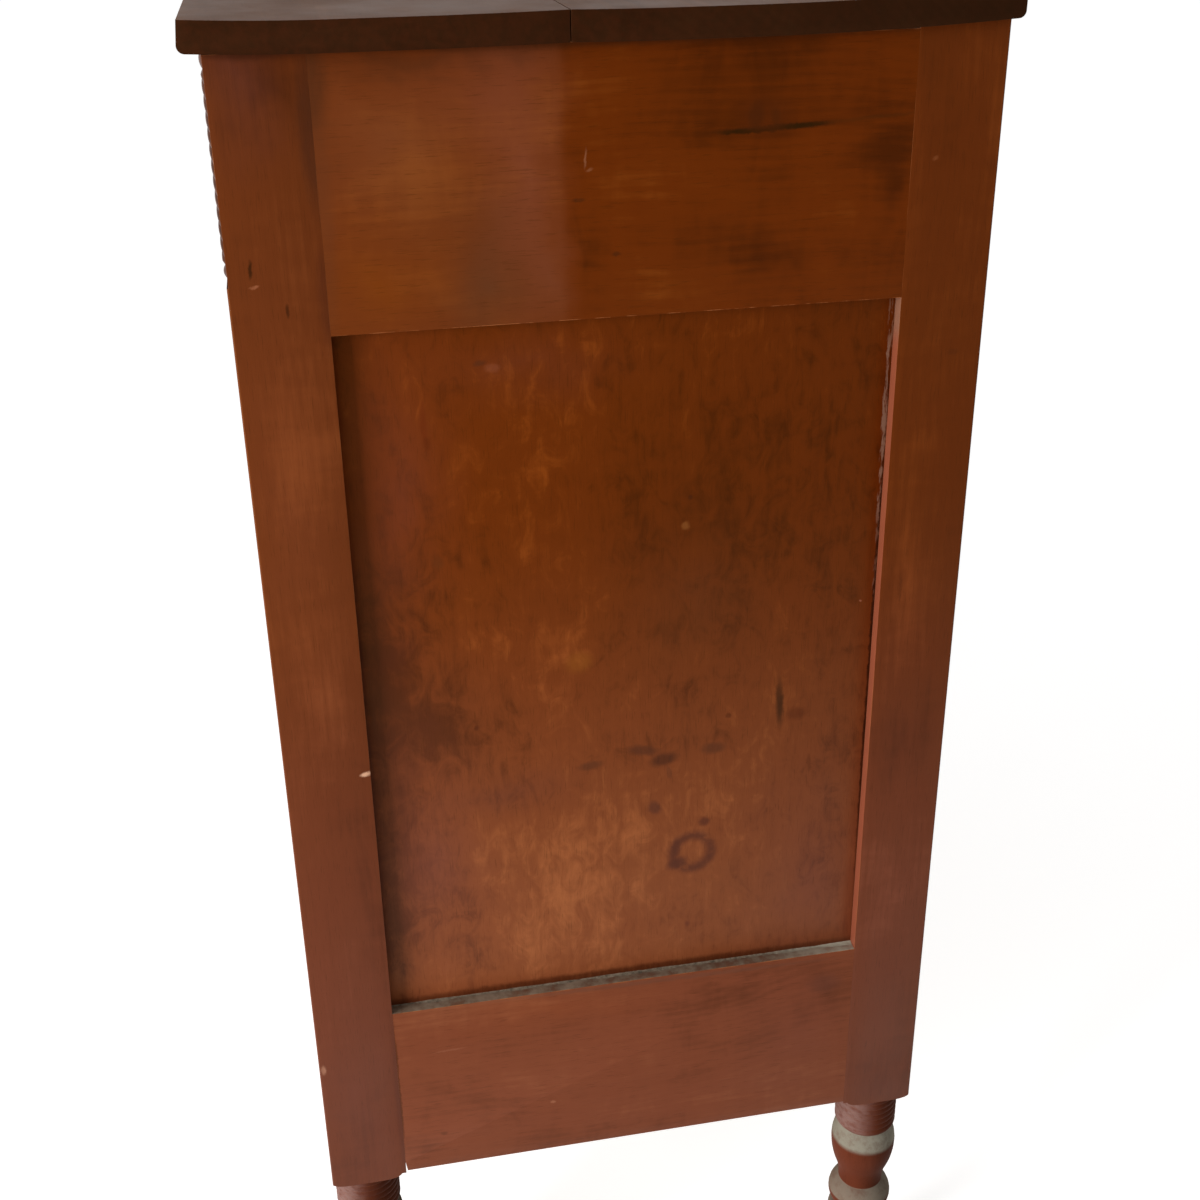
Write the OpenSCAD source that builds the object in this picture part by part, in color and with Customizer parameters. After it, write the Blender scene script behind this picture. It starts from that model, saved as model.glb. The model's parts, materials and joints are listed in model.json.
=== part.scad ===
// Chest of drawers on turned legs, with frame and panel ends and rope-turned split columns.
// Millimetres, +Z up, front towards -Y. The origin is on the floor under the middle of the top.

/* [Case] */
// Width of the case over the outside faces of its posts
case_w = 1054; // [900:2:1200]
// Depth of the case over the front and back faces of its posts
case_d = 495; // [440:1:560]
// Height of the turned leg below the square of the post
leg_h = 205; // [190:1:240]
// How far the square of the post reaches below the rails
block_drop = 7; // [3:0.5:12]
// Side of the square post
post_w = 60; // [56:1:66]
// How far the leg's axis lies outside the middle of the square, whose outer faces were planed after turning
leg_off = 2.2; // [0:0.1:3]
// Height of the rounding at the corners of the square, over the turned leg
shoulder_round = 5; // [1:0.5:6]
// Radius of the eased outer corners of the posts
post_ease = 1.5; // [0.5:0.25:3]
// Play between a tenon and its mortise, on each face
tenon_play = 0.1; // [0.05:0.05:0.3]
// Thickness of the tenons on the end rails and back rails
tenon_t = 8; // [6:0.5:10]
// Length of the tenons on the end rails
end_tenon_l = 34; // [25:1:36]
// Length of the tenons on the front rails and back rails
rail_tenon_l = 22; // [15:1:24]

/* [Top] */
// Thickness of the two top boards
top_t = 18.2; // [15:0.2:24]
// Overhang of the top at each end
top_over_end = 12.7; // [5:0.1:25]
// Overhang of the top at the front
top_over_front = 11.5; // [10:0.5:25]
// Overhang of the top at the back
top_over_back = 3; // [0:0.5:15]
// Width of the front board of the top
front_board_w = 225; // [180:1:280]
// Open seam between the two top boards
seam_gap = 0.8; // [0.3:0.1:2]
// How far the front edge of the cupped front board has lifted
top_cup = 2.5; // [0.5:0.1:4]
// How far the back edge of the back board has lifted
top_cup_back = 5.2; // [1:0.2:8]
// From the seam to the middle of the back board's seat
back_seat = 90; // [60:5:140]
// How far the front edge of the top leans out at its lower arris
top_lean = 1.5; // [0:0.5:3]
// Radius of the worn lower arrises along the front and the back of the top
top_ease = 4.5; // [1:0.5:6]

/* [Ends] */
// Height of the upper end rail
end_upper_h = 169.5; // [140:0.5:190]
// Height of the lower end rail
end_lower_h = 164; // [120:1:190]
// Thickness of the end rails
end_rail_t = 25; // [22:0.5:30]
// Depth of the end panel's face below the frame's face
panel_recess = 10; // [6:0.5:12]
// Thickness of the end panel
panel_t = 12; // [9:0.5:14]
// Thickness of the panel's feathered edge in its groove
panel_edge_t = 7; // [5:0.5:8]
// Width of the feathering on the panel's inner face
panel_feather = 40; // [20:1:60]
// Depth of the grooves that hold the end panel
panel_groove_d = 10; // [7:0.5:14]
// Room left for the panel to swell in its grooves
panel_room = 2; // [1:0.5:4]
// Play between the panel's edge and the groove, on each face
panel_play = 0.2; // [0.1:0.05:0.3]
// How far a board's flat tongue runs out past the depth of its groove
tongue_spare = 1; // [0.5:0.5:4]

/* [Front] */
// Thickness of the rail over the top drawer
top_rail_t = 19; // [16:1:24]
// Thickness of the rails between the drawers
divider_t = 20; // [16:1:26]
// Height of the rail under the lowest drawer
bottom_rail_h = 40; // [30:1:60]
// Depth of the rails between the drawers
divider_d = 70; // [62:1:90]
// Depth of the rail under the lowest drawer
bottom_rail_d = 30; // [26:1:40]
// Setback of rails and drawer fronts behind the posts
front_setback = 1.5; // [0:0.5:3]
// Height of the top drawer's opening
opening_1 = 116.5; // [100:0.5:150]
// Height of the second drawer's opening
opening_2 = 190; // [150:1:230]
// Height of the third drawer's opening
opening_3 = 212; // [150:1:250]
// Height of the lowest drawer's opening
opening_4 = 236; // [150:1:270]

/* [Rope columns] */
// Radius of the split column at the crests of its strands
column_r = 16; // [12:0.5:18]
// Depth of the grooves between the strands
strand_depth = 1.3; // [0.8:0.1:2]
// Distance between neighbouring strands, measured up the column
strand_pitch = 9.3; // [8:0.1:12]
// Number of strands round the whole column
strand_count = 8; // [5:1:10]
// Height of the ring at the column's head
column_head_h = 11; // [6:0.5:16]
// Height of the ring at the column's foot
column_foot_h = 8; // [5:0.5:12]
// How far the rings at the head and foot swell in the middle of their height
column_ring_bulge = 1.8; // [1:0.1:3]
// How far the crests stand in front of the post
column_proud = 1.7; // [1:0.1:6]
// How far the face beside the column is cut back
column_face_cut = 1.1; // [0.5:0.1:2]
// Play between the column and the sides of its recess
column_play = 1; // [0.3:0.1:2]

/* [Legs] */
// Radius of the ringed drum under the square
drum_r = 26.5; // [24:0.25:27.5]
// Number of rings on the drum
ring_count = 7; // [4:1:9]
// Height of each ring on the drum
ring_h = 5.8; // [4:0.1:6]
// Depth of the grooves between the rings
ring_depth = 0.9; // [0.5:0.1:1.5]
// Radius of the groove under the drum
groove_r = 23.2; // [18:0.2:24]
// Height of the groove under the drum
groove_h = 3.4; // [2:0.2:6]
// Largest radius of the vase turning
vase_r = 28; // [25:0.25:29]
// Height of the vase's shoulder, from the groove to its largest radius
shoulder_h = 20; // [14:0.5:22]
// Height of the vase's body, from its largest radius to where it turns in
vase_h = 26; // [18:0.5:28]
// How far the vase's body has drawn in where it turns into the neck
vase_drop = 4.8; // [3:0.2:7]
// Height of the hollow from the vase's body to the neck
hollow_h = 19; // [12:0.5:22]
// Smallest radius of the neck
neck_r = 19.4; // [14:0.2:21]
// Height of the straight part of the neck
neck_h = 2; // [1:0.5:4]
// Largest radius of the ball turning
ball_r = 27.6; // [24:0.2:29]
// Height of the ball's upper half, from the neck to its largest radius
ball_upper_h = 15.5; // [11:0.5:17]
// Height of the ball's lower half, from its largest radius to the collar
ball_lower_h = 18; // [12:0.5:20]
// Half height of the ball's full curve
ball_half_h = 21.7; // [20.2:0.1:26]
// Radius of the collar under the ball
collar_r = 27; // [22:0.5:29]
// Half height of the collar
collar_half = 5; // [3:0.5:6]
// Depth of the notches over and under the collar
collar_notch = 6; // [4:0.5:8]
// Radius of the foot on the floor
foot_r = 15; // [12:0.5:20]

/* [Back] */
// Thickness of the back boards
back_t = 12; // [9:0.5:15]
// Width of the rebate that takes the back boards
back_rebate = 12; // [8:0.5:15]
// Number of back boards
back_board_count = 4; // [3:1:6]
// Gap between neighbouring back boards
back_gap = 1; // [0.5:0.5:2]
// Play between the boards' ends and the sides of the rebates
back_board_play = 0.3; // [0.2:0.1:1]
// Height of the back rails
back_rail_h = 60; // [45:1:70]
// Thickness of the back rails
back_rail_t = 22; // [18:0.5:26]

/* [Runners] */
// Width of the runner under the drawer's side
runner_w = 30; // [22:1:40]
// Thickness of the runners
runner_t = 20; // [14:0.5:26]
// Height of the guide that stands on the runner
guide_h = 25; // [15:1:40]
// Length of the stop block at the back of the runner
stop_l = 14; // [8:0.5:18]
// Height of the stop block
stop_h = 12; // [6:0.5:18]
// Gap between the closed drawer and its stop block
stop_gap = 0.4; // [0.3:0.1:1]

/* [Drawers] */
// Gap at each end of a drawer front
drawer_side_gap = 1; // [0.5:0.1:2]
// Gap over a drawer front
drawer_top_gap = 2; // [1:0.5:4]
// Running gap between a drawer's side and its runner
drawer_run_gap = 0.3; // [0.2:0.05:0.5]
// Room between a closed drawer and the back rail
drawer_back_room = 20.5; // [19:0.5:60]
// Thickness of the drawer fronts
drawer_front_t = 20; // [17:0.5:24]
// Thickness of the drawer sides
drawer_side_t = 12; // [9:0.5:14]
// Thickness of the drawer backs
drawer_back_t = 12; // [9:0.5:14]
// How much lower the sides are than the front
side_drop = 3; // [1:0.5:6]
// How much lower the back is than the sides
back_drop = 3; // [1:0.5:8]
// Thickness of the drawer bottoms
bottom_t = 9; // [7:0.5:12]
// Thickness of the bottom's feathered edge
bottom_edge_t = 5.6; // [4:0.2:6.5]
// Width of the feathering under the drawer bottom
bottom_feather = 30; // [15:1:50]
// Height of the groove for the bottom above the side's lower edge
bottom_groove_z = 10; // [7:0.5:14]
// Depth of the groove for the bottom
bottom_groove_d = 5.5; // [4:0.5:6]
// Play between the bottom's edge and its groove, on each face
bottom_play = 0.2; // [0.1:0.05:0.3]
// Room between the bottom's edge and the floor of its groove
bottom_room = 0.5; // [0.3:0.1:1.5]
// Wood left in front of the half-blind dovetails
dovetail_lap = 5; // [3:0.5:7]
// Spacing that the dovetails are laid out to
dovetail_pitch = 38; // [26:1:50]
// Width of a dovetail pin at its narrow end
pin_w = 6; // [3:0.5:10]
// Play between dovetail tails and pins, on each face
dovetail_play = 0.1; // [0.05:0.05:0.2]
// Width of the bead round a drawer front
bead_w = 3; // [2:0.5:4]
// How far the bead stands in front of the drawer front
bead_proud = 2; // [1.5:0.1:2.5]

/* [Ring pulls] */
// Distance of a pull from the end of the drawer's opening
pull_inset = 205; // [120:1:260]
// Radius of the pull's back plate
plate_r = 21.5; // [20:0.5:26]
// Thickness of the back plate under the ring
plate_t = 1.4; // [1:0.1:2]
// Height of the boss in the middle of the plate
boss_h = 4.2; // [2:0.1:5]
// Radius of the boss in the middle of the plate
boss_r = 11; // [7:0.5:12]
// Radius of the ring, to the middle of its wire
ring_r = 17; // [15:0.5:18]
// Radius of the ring's wire
wire_r = 1.9; // [1.5:0.1:2]
// Play round the wire in the hole of the eye
eye_play = 0.55; // [0.5:0.05:0.7]
// Wall of the eye round the hole
eye_wall = 1.4; // [1:0.1:2]
// Width of the eye along the wire
eye_w = 5; // [4:0.5:6]
// Radius of the shank that passes through the drawer front
shank_r = 2.2; // [1.8:0.1:2.6]
// Play between the shank and its hole
shank_play = 0.15; // [0.1:0.05:0.3]
// Radius of the nut behind the drawer front
nut_r = 5; // [4:0.5:7]
// Thickness of the nut
nut_t = 3; // [2:0.5:4]
// Play between the nut and the shank
nut_play = 0.05; // [0.02:0.01:0.2]

/* [Top screws] */
// Radius of the screws that hold the top
screw_r = 2.2; // [1.8:0.1:2.6]
// Radius of a screw's head
screw_head_r = 4.4; // [3.8:0.1:5]
// How far a screw reaches into the top board
screw_bite = 12; // [8:0.5:13]
// Play between a screw and its hole
screw_play = 0.15; // [0.1:0.05:0.3]

/* [Hidden] */
$fn = 64;
// Overlap of joined bodies, and how far a cutter runs out past the face that it opens
eps = 0.01;
over = 1;

openings = [opening_1, opening_2, opening_3, opening_4];
divider_count = 3;

// Outer faces of the case, and the inner faces of its posts
x_side = case_w / 2;
x_in = x_side - post_w;
x_rail_in = x_side - end_rail_t;
top_d = case_d + top_over_front + top_over_back;
y_front = top_over_front - top_d / 2;
y_back = y_front + case_d;
y_top_front = -top_d / 2;
top_half_w = x_side + top_over_end;
y_boards = y_back - back_t;
y_back_rail = y_boards - back_rail_t;
y_face = y_front + front_setback;
opening_w = 2 * x_in;
// Distance of a leg's axis from the outer faces of its post
axis_in = post_w / 2 - leg_off;

// Heights of the case
openings_h = opening_1 + opening_2 + opening_3 + opening_4;
case_h = top_rail_t + openings_h + divider_count * divider_t + bottom_rail_h;
z_case = leg_h + block_drop;
z_top = z_case + case_h;
zone_h = top_rail_t + opening_1;

// Height of the surface that drawer i runs on, with the top drawer as 1
function z_floor(i) = i == 1 ? z_top - zone_h : z_floor(i - 1) - divider_t - openings[i - 1];
function floor_rail_t(i) = i == 4 ? bottom_rail_h : divider_t;
function floor_rail_d(i) = i == 4 ? bottom_rail_d : divider_d;

// Sizes of drawer i
drawer_w = opening_w - 2 * drawer_side_gap;
function front_h(i) = openings[i - 1] - drawer_top_gap - drawer_run_gap;
function side_h(i) = front_h(i) - side_drop;
function z_drawer(i) = z_floor(i) + drawer_run_gap;
function pull_z(i) = z_drawer(i) + front_h(i) / 2 - ring_r / 2;
pull_x = x_in - pull_inset;
y_drawer_back = y_back_rail - drawer_back_room;

// Place of the rope columns
column_floor_y = y_front - column_proud + column_r;
column_x = x_side - post_w / 2;
recess_w = 2 * (column_r + column_play);

// Ring pulls: distance of the eye's hole from the drawer's face
eye_hole_r = wire_r + eye_play;
eye_r = eye_hole_r + eye_wall;
// Metal between the plate and the eye's hole, and how far the shank ends past its nut
eye_web = 0.15;
shank_end = 2;
eye_y = plate_t + eye_web + eye_hole_r;

cherry = [0.45, 0.22, 0.12];
cherry_dark = [0.30, 0.15, 0.09];
cherry_red = [0.40, 0.18, 0.11];
poplar = [0.72, 0.62, 0.42];
brass = [0.72, 0.56, 0.28];
iron = [0.35, 0.34, 0.33];

// Mirrors its children to the left-hand side
module left() { mirror([1, 0, 0]) children(); }

// Box from one corner to the other
module box(a, b) { translate(a) cube(b - a); }

// Takes the corner off a vertical edge at the origin, whose wood lies towards +X and +Y
module ease_cut(r, h) {
    difference() {
        translate([-over, -over, 0]) cube([r + over, r + over, h]);
        translate([r, r, -over]) cylinder(r = r, h = h + 2 * over);
    }
}

// Board that is feathered on one face down to a tongue round its edges, lying flat with that face down.
// w runs along X, l along Y, and the edge at +Y stays full where open_end is set.
module feathered_board(w, l, t, edge_t, tongue, feather, open_end = false) {
    low = t - edge_t;
    intersection() {
        rotate([90, 0, 0]) translate([0, 0, -l])
            linear_extrude(l)
                polygon([[-w / 2, low], [-w / 2 + tongue, low], [-w / 2 + feather, 0], [w / 2 - feather, 0],
                    [w / 2 - tongue, low], [w / 2, low], [w / 2, t], [-w / 2, t]]);
        rotate([90, 0, 90]) translate([0, 0, -w / 2])
            linear_extrude(w)
                polygon(concat([[0, t], [0, low], [tongue, low], [feather, 0]],
                    open_end ? [[l, 0], [l, t]] : [[l - feather, 0], [l - tongue, low], [l, low], [l, t]]));
    }
}

// Section of a cupped top board: a flat seat, and to each side of it a curve up to the lifted edge
seat_half = 24;
cup_steps = 6;
arris_steps = 6;
function reversed(list) = [for (k = [len(list) - 1:-1:0]) list[k]];
function cup_side(seat, edge, lift, z, last = cup_steps) =
    [for (k = [1:last]) [seat + (edge - seat) * k / cup_steps, z + lift * pow(k / cup_steps, 2)]];

// Lower side of a free edge: the curve up to its last stretch, then an arc round the worn arris that meets
// that stretch
function worn_side(seat, edge, lift) =
    let (run = abs(edge - seat), side = sign(seat - edge),
        slope = lift * (2 * cup_steps - 1) / (cup_steps * run), fall = atan(slope),
        arc_z = lift + top_ease / cos(fall) - top_ease * slope)
    concat(cup_side(seat, edge, lift, 0, cup_steps - 1),
        [for (k = [arris_steps:-1:0]) let (a = (90 - fall) * k / arris_steps)
            [edge + side * top_ease * (1 - cos(a)), arc_z - top_ease * sin(a)]]);

// lower is the line of the underside and upper that of the top, both from front to back
module top_board(lower, upper) {
    translate([-top_half_w, 0, z_top])
        rotate([90, 0, 90])
            linear_extrude(2 * top_half_w)
                polygon(concat(lower, reversed(upper)));
}

seam_y = y_top_front + front_board_w;
seam_lift = top_cup / 3;

module top_front_board() {
    seat_y = seam_y - front_board_w / 2;
    seat = [seat_y - seat_half, seat_y + seat_half];
    edge = [y_top_front, seam_y - seam_gap / 2];
    color(cherry_dark)
        difference() {
            top_board(
                concat(reversed(worn_side(seat[0], edge[0], top_cup)), [[seat[0], 0], [seat[1], 0]],
                    cup_side(seat[1], edge[1], seam_lift, 0)),
                concat(reversed(cup_side(seat[0], edge[0] + top_lean, top_cup, top_t)),
                    [[seat[0], top_t], [seat[1], top_t]], cup_side(seat[1], edge[1], seam_lift, top_t)));
            top_screw_holes();
        }
}

back_seat_end = seam_y + back_seat + seat_half;
y_top_back = y_top_front + top_d;

module top_back_board() {
    seat = [back_seat_end - 2 * seat_half, back_seat_end];
    edge = [seam_y + seam_gap / 2, y_top_back];
    color(cherry_dark)
        difference() {
            top_board(
                concat(reversed(cup_side(seat[0], edge[0], seam_lift, 0)), [[seat[0], 0], [seat[1], 0]],
                    worn_side(seat[1], edge[1], top_cup_back)),
                concat(reversed(cup_side(seat[0], edge[0], seam_lift, top_t)),
                    [[seat[0], top_t], [seat[1], top_t]], cup_side(seat[1], edge[1], top_cup_back, top_t)));
            top_screw_holes();
        }
}

// Room over the back posts, which reach up to the lifted board where the shrunken rails no longer do
module above_back_posts() {
    translate([-top_half_w - over, 0, z_top])
        rotate([90, 0, 90])
            linear_extrude(2 * (top_half_w + over))
                polygon(concat([[back_seat_end, 0]], cup_side(back_seat_end, y_top_back, top_cup_back, 0),
                    [[y_top_back, 2 * top_cup_back], [back_seat_end, 2 * top_cup_back]]));
}

// Places of the screws: three through the front rail, and two through each kicker, at shares of the depth
kicker_screws = [0.3, 0.7];
screw_places = concat(
    [for (s = [-1, 0, 1]) [s * x_in / 2, y_front + divider_d / 2]],
    [for (s = [-1, 1], share = kicker_screws) [s * (x_in - runner_w / 2), y_front + case_d * share]]);
screw_l = top_rail_t + screw_bite;

module screw_shape(play) {
    head_h = screw_head_r - screw_r;
    translate([0, 0, -play])
        union() {
            cylinder(r = screw_r + play, h = screw_l + 2 * play);
            cylinder(r1 = screw_head_r + play, r2 = screw_r + play, h = head_h);
        }
}

module top_screw_holes() {
    for (p = screw_places) translate([p[0], p[1], z_top - top_rail_t]) screw_shape(screw_play);
}

module top_screws() {
    color(iron)
        for (p = screw_places) translate([p[0], p[1], z_top - top_rail_t]) screw_shape(0);
}

// Height of the notches over and under the collar, and of the step over the ball
notch_h = 1;
ball_lip = 0.3;
// Share of the height of the groove under the drum that its slope takes
groove_slope = 0.3;
// Angle that the collar's round covers above and below its middle
collar_sweep = 75;
// Power that shapes the taper of the foot
foot_taper = 1.4;
// Stretches along the curves of the turning
ring_steps = 4;
curve_steps = 6;
hollow_steps = 5;
ball_steps = 10;
collar_steps = 8;

// Heights on the leg, measured down from the square
drum_h = ring_count * ring_h;
vase_top = drum_h + groove_h;
vase_eq = vase_top + shoulder_h;
vase_turn = vase_eq + vase_h;
neck_z = vase_turn + hollow_h;
neck_end = neck_z + neck_h;
ball_eq = neck_end + ball_upper_h;
ball_end = ball_eq + ball_lower_h;
collar_z = ball_end + notch_h + collar_half;
foot_top = collar_z + collar_half + notch_h;
collar_floor_r = collar_r - collar_notch;

// Half outline of the leg as [radius, height below the square]
function vase_shoulder_r() = let (s = vase_r - groove_r, h = shoulder_h) (h * h + s * s) / (2 * s);
function vase_lower_r() = let (h = vase_h) (h * h + vase_drop * vase_drop) / (2 * vase_drop);
leg_outline = concat(
    [[0, -over], [drum_r, -over], [drum_r, 0]],
    [for (k = [0:ring_count - 1], q = [1:ring_steps]) let (u = 2 * q / ring_steps - 1)
        [drum_r - ring_depth * u * u, k * ring_h + q / ring_steps * ring_h]],
    [[groove_r, drum_h + groove_h * groove_slope], [groove_r, vase_top]],
    [for (k = [1:curve_steps]) let (z = vase_top + shoulder_h * k / curve_steps, R = vase_shoulder_r())
        [vase_r - R + sqrt(R * R - pow(z - vase_eq, 2)), z]],
    [for (k = [1:curve_steps]) let (z = vase_eq + vase_h * k / curve_steps, R = vase_lower_r())
        [vase_r - R + sqrt(R * R - pow(z - vase_eq, 2)), z]],
    [for (k = [1:hollow_steps]) let (u = k / hollow_steps)
        [vase_r - vase_drop - (vase_r - vase_drop - neck_r) * (1 - pow(1 - u, 2)), vase_turn + hollow_h * u]],
    [[neck_r, neck_end]],
    [for (k = [0:ball_steps])
        let (z = neck_end + ball_lip + (ball_end - neck_end - ball_lip) * k / ball_steps)
        [ball_r * sqrt(1 - pow((z - ball_eq) / ball_half_h, 2)), z]],
    [[collar_floor_r, ball_end + notch_h / 2]],
    [for (k = [0:collar_steps]) let (a = collar_sweep * (2 * k / collar_steps - 1))
        [collar_r - collar_half + collar_half * cos(a), collar_z + collar_half * sin(a)]],
    [[collar_floor_r, foot_top]],
    [for (k = [1:curve_steps]) let (u = k / curve_steps)
        [foot_r + (collar_floor_r - foot_r) * pow(1 - u, foot_taper), foot_top + (leg_h - foot_top) * u]],
    [[0, leg_h]]);

module leg() {
    rotate_extrude() polygon([for (p = leg_outline) [p[0], leg_h - p[1]]]);
}

// Rounding at the foot of the square, in shares of its side: the radius where it starts, how far out it runs
// to pass the corner, and the radius that its cutter reaches
round_start = 0.5;
round_run = 0.16;
round_past = 0.8;
round_steps = 4;

// Post at the right-hand end with its corner at the origin: x towards the inside, y along the end
module post_blank(top_z) {
    difference() {
        translate([0, 0, leg_h]) cube([post_w, post_w, top_z - leg_h]);
        translate([0, 0, leg_h - over]) ease_cut(post_ease, top_z - leg_h + 2 * over);
        // Corners rounded on the lathe where the square meets the turning
        translate([axis_in, axis_in, leg_h]) rotate_extrude()
            polygon(concat([[post_w * round_start, -over]],
                [for (k = [0:round_steps]) let (a = 90 * k / round_steps)
                    [post_w * (round_start + round_run * sin(a)), shoulder_round * (1 - cos(a))]],
                [[post_w * round_past, shoulder_round], [post_w * round_past, -over]]));
        // Panel groove and end rail mortises, cut from the face that looks along the end
        translate([panel_recess - panel_play, post_w - panel_groove_d, z_panel_low - panel_groove_d])
            cube([panel_edge_t + 2 * panel_play, panel_groove_d + over,
                z_panel_high - z_panel_low + 2 * panel_groove_d]);
        for (m = [lower_tenon_z, upper_tenon_z])
            translate([panel_recess - tenon_play, post_w - end_tenon_l - tenon_play, m[0] - tenon_play])
                cube([tenon_t + 2 * tenon_play, end_tenon_l + tenon_play + over,
                    m[1] - m[0] + 2 * tenon_play]);
    }
    translate([axis_in, axis_in, 0]) leg();
}

z_panel_low = z_case + end_lower_h;
z_panel_high = z_top - end_upper_h;
tenon_shoulder = 18;
lower_tenon_z = [z_case + tenon_shoulder, z_panel_low - tenon_shoulder];
upper_tenon_z = [z_panel_high + tenon_shoulder, z_top - tenon_shoulder];

// Tenons of the front rails: place across the rail's depth, and thickness
front_tenon_y = [20, 50];
front_tenon_t = 12;
dovetail_depth = 12;
dovetail_neck = 24;
dovetail_flare = 4;

module top_dovetail(play) {
    y_mid = (front_tenon_y[0] + front_tenon_y[1]) / 2;
    n = dovetail_neck / 2 + play;
    f = dovetail_neck / 2 + dovetail_flare + play;
    translate([0, y_mid, 0])
        linear_extrude(dovetail_depth + play)
            polygon([[-over, -n], [0, -n], [rail_tenon_l + play, -f],
                [rail_tenon_l + play, f], [0, n], [-over, n]]);
}

module front_mortises() {
    // Cut from the inner face of the post, seen from outside as x = post_w
    for (i = [1:4]) {
        t = i == 4 ? bottom_rail_h - 2 * bottom_tenon_shoulder : front_tenon_t;
        z = z_floor(i) - floor_rail_t(i) / 2 - t / 2;
        y0 = i == 4 ? bottom_tenon_y[0] : front_tenon_y[0];
        y1 = i == 4 ? bottom_tenon_y[1] : front_tenon_y[1];
        translate([post_w - rail_tenon_l - tenon_play, y0 - tenon_play, z - tenon_play])
            cube([rail_tenon_l + tenon_play + over, y1 - y0 + 2 * tenon_play, t + 2 * tenon_play]);
    }
    translate([post_w, 0, z_top - dovetail_depth - tenon_play]) mirror([1, 0, 0]) top_dovetail(tenon_play);
}

bottom_tenon_shoulder = 8;
bottom_tenon_y = [12, 22];

module front_post() {
    translate([x_side, y_front, 0]) mirror([1, 0, 0])
        difference() {
            post_blank(z_top);
            front_mortises();
            // Face cut back beside the rope column, and the recess that holds it
            translate([-over, -over, z_top - zone_h])
                cube([post_w + 2 * over, over + column_face_cut, zone_h + over]);
            translate([post_w / 2 - recess_w / 2, -over, z_top - zone_h])
                cube([recess_w, over + column_floor_y - y_front, zone_h + over]);
        }
}

module back_post() {
    difference() {
        translate([x_side, y_back, 0]) mirror([1, 0, 0]) mirror([0, 1, 0])
            difference() {
                post_blank(z_top + top_cup_back);
                translate([post_w - back_rebate, -over, z_case])
                    cube([back_rebate + over, back_t + over, case_h + top_cup_back + over]);
                for (m = [back_lower_tenon_z, back_upper_tenon_z])
                    translate([post_w - rail_tenon_l - tenon_play,
                        back_t + back_rail_t / 2 - tenon_t / 2 - tenon_play, m[0] - tenon_play])
                        cube([rail_tenon_l + tenon_play + over, tenon_t + 2 * tenon_play,
                            m[1] - m[0] + 2 * tenon_play]);
            }
        above_back_posts();
    }
}

back_tenon_shoulder = 10;
back_lower_tenon_z = [z_case + back_tenon_shoulder, z_case + back_rail_h - back_tenon_shoulder];
back_upper_tenon_z = [z_top - back_rail_h + back_tenon_shoulder, z_top - back_tenon_shoulder];

// Rope-turned split column, flat side on the floor of its recess. Each strand's round has a few stretches,
// and each slice of the twist turns by a few degrees.
lobe_steps = 5;
slice_turn = 14;
rope_outline = [for (s = [0:strand_count - 1], k = [0:lobe_steps - 1])
    let (u = 2 * k / lobe_steps - 1, a = 360 / strand_count * (s + k / lobe_steps),
        r = column_r - strand_depth * u * u)
    [r * cos(a), r * sin(a)]];

module rope_column() {
    rope_h = zone_h - column_head_h - column_foot_h;
    rope_twist = 360 * rope_h / (strand_pitch * strand_count);
    translate([column_x, column_floor_y, z_top - zone_h])
        intersection() {
            union() {
                column_ring(0, column_foot_h);
                translate([0, 0, column_foot_h])
                    linear_extrude(rope_h, twist = rope_twist, slices = round(rope_twist / slice_turn))
                        polygon(rope_outline);
                column_ring(zone_h - column_head_h, column_head_h);
            }
            translate([-column_r - over, -column_r - over, 0])
                cube([2 * (column_r + over), column_r + over, zone_h]);
        }
}

// Ring turned on the column's head or foot
module column_ring(z, h, steps = 8) {
    rotate_extrude($fn = 48)
        polygon(concat([[0, z]],
            [for (k = [0:steps]) let (u = 2 * k / steps - 1)
                [column_r - column_ring_bulge * u * u, z + h * k / steps]],
            [[0, z + h]]));
}

// End rail with its tenons, for z from z0 to z1, grooved on the edge that meets the panel
module end_rail(z0, z1, tenon_z, groove_low) {
    y0 = y_front + post_w;
    y1 = y_back - post_w;
    groove_z = groove_low ? z0 - over : z1 - panel_groove_d;
    difference() {
        union() {
            box([x_rail_in, y0, z0], [x_side, y1, z1]);
            box([x_side - panel_recess - tenon_t, y0 - end_tenon_l, tenon_z[0]],
                [x_side - panel_recess, y1 + end_tenon_l, tenon_z[1]]);
        }
        box([x_side - panel_recess - panel_edge_t - panel_play, y0 - over, groove_z],
            [x_side - panel_recess + panel_play, y1 + over, groove_z + panel_groove_d + over]);
    }
}

module upper_rail() { end_rail(z_panel_high, z_top, upper_tenon_z, true); }
module lower_rail() { end_rail(z_case, z_panel_low, lower_tenon_z, false); }

// End panel: flat outside, feathered inside, standing in the groove of the lower rail
module end_panel() {
    side_in = panel_groove_d - panel_room;
    w = case_d - 2 * post_w + 2 * side_in;
    h = z_panel_high - z_panel_low + panel_groove_d + side_in;
    translate([x_side - panel_recess, (y_front + y_back) / 2, z_panel_low - panel_groove_d])
        rotate([90, 0, 90]) translate([0, 0, -panel_t])
            feathered_board(w, h, panel_t, panel_edge_t, panel_groove_d + tongue_spare, panel_feather);
}

// Rail between drawers, with its tenons; i is the drawer that runs on it
module divider(i) {
    z1 = z_floor(i);
    z0 = z1 - divider_t;
    zt = (z0 + z1 - front_tenon_t) / 2;
    difference() {
        union() {
            box([-x_in, y_face, z0], [x_in, y_front + divider_d, z1]);
            box([-x_in - rail_tenon_l, y_front + front_tenon_y[0], zt],
                [x_in + rail_tenon_l, y_front + front_tenon_y[1], zt + front_tenon_t]);
        }
        for (s = [-1, 1]) runner_groove(s, y_front + divider_d, z1, runner_t);
    }
}

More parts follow.
